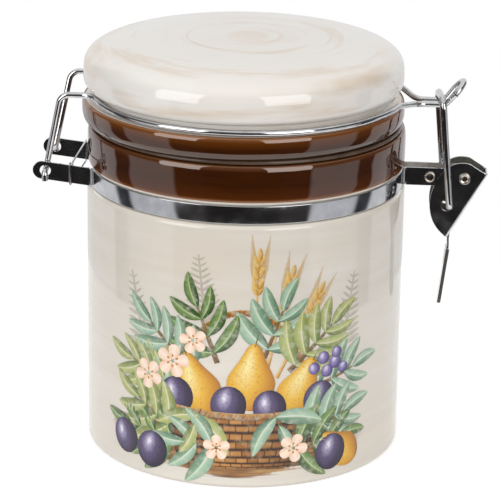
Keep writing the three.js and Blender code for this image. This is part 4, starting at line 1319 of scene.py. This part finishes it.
def studio_world():
    """A dim room: dark behind the camera, a pale panel low at each side, and white behind the canister
    and overhead. The camera itself sees plain white."""
    world = bpy.data.worlds.new("studio")
    bpy.context.scene.world = world
    world.use_nodes = True
    tree = world.node_tree
    tree.nodes.clear()
    way = add(tree, "SeparateXYZ", {0: add(tree, "TexCoord").outputs["Generated"]})
    front = add(tree, "Math", {0: way.outputs[1], 1: -1.0}, operation="MULTIPLY")
    turn = add(tree, "Math", {0: way.outputs[0], 1: front.outputs[0]}, operation="ARCTAN2")
    side = add(tree, "Math", {0: turn.outputs[0]}, operation="ABSOLUTE")
    share = add(tree, "Math", {0: side.outputs[0], 1: math.pi}, operation="DIVIDE")
    room = add(tree, "ValToRGB", {0: share.outputs[0]}, stops=[
        (0.14, "#2a2827"), (0.16, "#3a3736"), (0.27, "#3a3736"), (0.285, "#dedee2"), (0.49, "#d4d4d8"),
        (0.505, "#3c3d42"), (0.575, "#3c3d42"), (0.59, "#ececee"),
    ])
    walls = add(tree, "ValToRGB", {0: share.outputs[0]}, stops=[
        (0.2, "#6b6a69"), (0.34, "#504f4e"), (0.7, "#5c5c5f"), (0.78, "#f4f4f4"),
    ])
    rise = add(tree, "MapRange", {0: way.outputs[2], 1: -0.08, 2: 0.08})
    sides = add(tree, "Mix", {0: rise.outputs[0], 6: room.outputs[0], 7: walls.outputs[0]}, data_type="RGBA")
    overhead = add(tree, "MapRange", {0: way.outputs[2], 1: 0.55, 2: 0.8})
    ceiling = add(tree, "Mix", {
        0: overhead.outputs[0], 6: sides.outputs[2], 7: linear("#ffffff"),
    }, data_type="RGBA")
    seen = add(tree, "LightPath").outputs["Is Camera Ray"]
    shown = add(tree, "Mix", {0: seen, 6: ceiling.outputs[2], 7: (1, 1, 1, 1)}, data_type="RGBA")
    light = add(tree, "Background", {"Color": shown.outputs[2], "Strength": 1.0})
    add(tree, "OutputWorld", {"Surface": light.outputs[0]})


def way_out(turn, lift):
    """The direction from the canister that is turned to the right of its front and lifted from level."""
    return Vector((math.sin(turn) * math.cos(lift), -math.cos(turn) * math.cos(lift), math.sin(lift)))


def softbox(name, turn):
    """A rectangular softbox that faces the canister."""
    way = way_out(turn, SOFTBOX_LIFT)
    place = Vector((0, 0, SOFTBOX_AIM_LEVEL)) + way * SOFTBOX_DISTANCE
    bpy.ops.object.light_add(type="AREA", location=place)
    lamp = bpy.context.object
    lamp.name = name
    lamp.rotation_euler = way.to_track_quat("Z", "Y").to_euler()
    lamp.data.shape = "RECTANGLE"
    lamp.data.size = SOFTBOX_WIDTH
    lamp.data.size_y = SOFTBOX_HEIGHT
    lamp.data.energy = SOFTBOX_POWER


def white_table():
    """A small white table top, which shows plain white and keeps the canister's shadow."""
    bpy.ops.mesh.primitive_circle_add(vertices=96, radius=TABLE_RADIUS, fill_type="NGON")
    table = bpy.context.object
    table.name = "white_table"
    material, tree = new_material("white_laminate")
    place = add(tree, "TexCoord").outputs["Object"]
    cloud = add(tree, "TexNoise", {"Vector": place, "Scale": 4.0})
    tone = add(tree, "ValToRGB", {0: cloud.outputs[0]}, stops=[(0.3, "#d8d8d8"), (0.7, "#dedede")])
    matt = add(tree, "BsdfDiffuse", {"Color": tone.outputs[0]})
    ray = add(tree, "LightPath").outputs
    seen = add(tree, "Math", {0: ray["Is Camera Ray"], 1: ray["Is Glossy Ray"]}, operation="MAXIMUM")
    through = add(tree, "Math", {0: seen.outputs[0], 1: ray["Is Transmission Ray"]}, operation="MAXIMUM")
    level = add(tree, "MapRange", {0: through.outputs[0], 3: TABLE_GLOW, 4: TABLE_SEEN_GLOW})
    glow = add(tree, "Emission", {"Color": (1, 1, 1, 1), "Strength": level.outputs[0]})
    finish_material(tree, add(tree, "AddShader", {0: matt.outputs[0], 1: glow.outputs[0]}))
    table.data.materials.append(material)


def photo_camera():
    """The photograph's view: a long lens from a little above, a few degrees to the latch side."""
    middle = Vector((0, 0, CAMERA_AIM_LEVEL))
    aim = middle + Vector((math.cos(CAMERA_TURN), math.sin(CAMERA_TURN), 0)) * CAMERA_AIM_SIDE
    place = middle + way_out(CAMERA_TURN, CAMERA_LIFT) * CAMERA_DISTANCE
    bpy.ops.object.camera_add(location=place)
    camera = bpy.context.object
    camera.data.lens = CAMERA_LENS
    camera.data.sensor_width = CAMERA_SENSOR
    camera.data.clip_start = CAMERA_CLIP
    roll = Quaternion((0, 0, 1), CAMERA_ROLL)
    camera.rotation_euler = ((aim - place).to_track_quat("-Z", "Y") @ roll).to_euler()
    bpy.context.scene.camera = camera


studio_world()
softbox("left_softbox", SOFTBOX_LEFT)
softbox("right_softbox", SOFTBOX_RIGHT)
white_table()
photo_camera()
bpy.context.scene.view_settings.view_transform = "Standard"
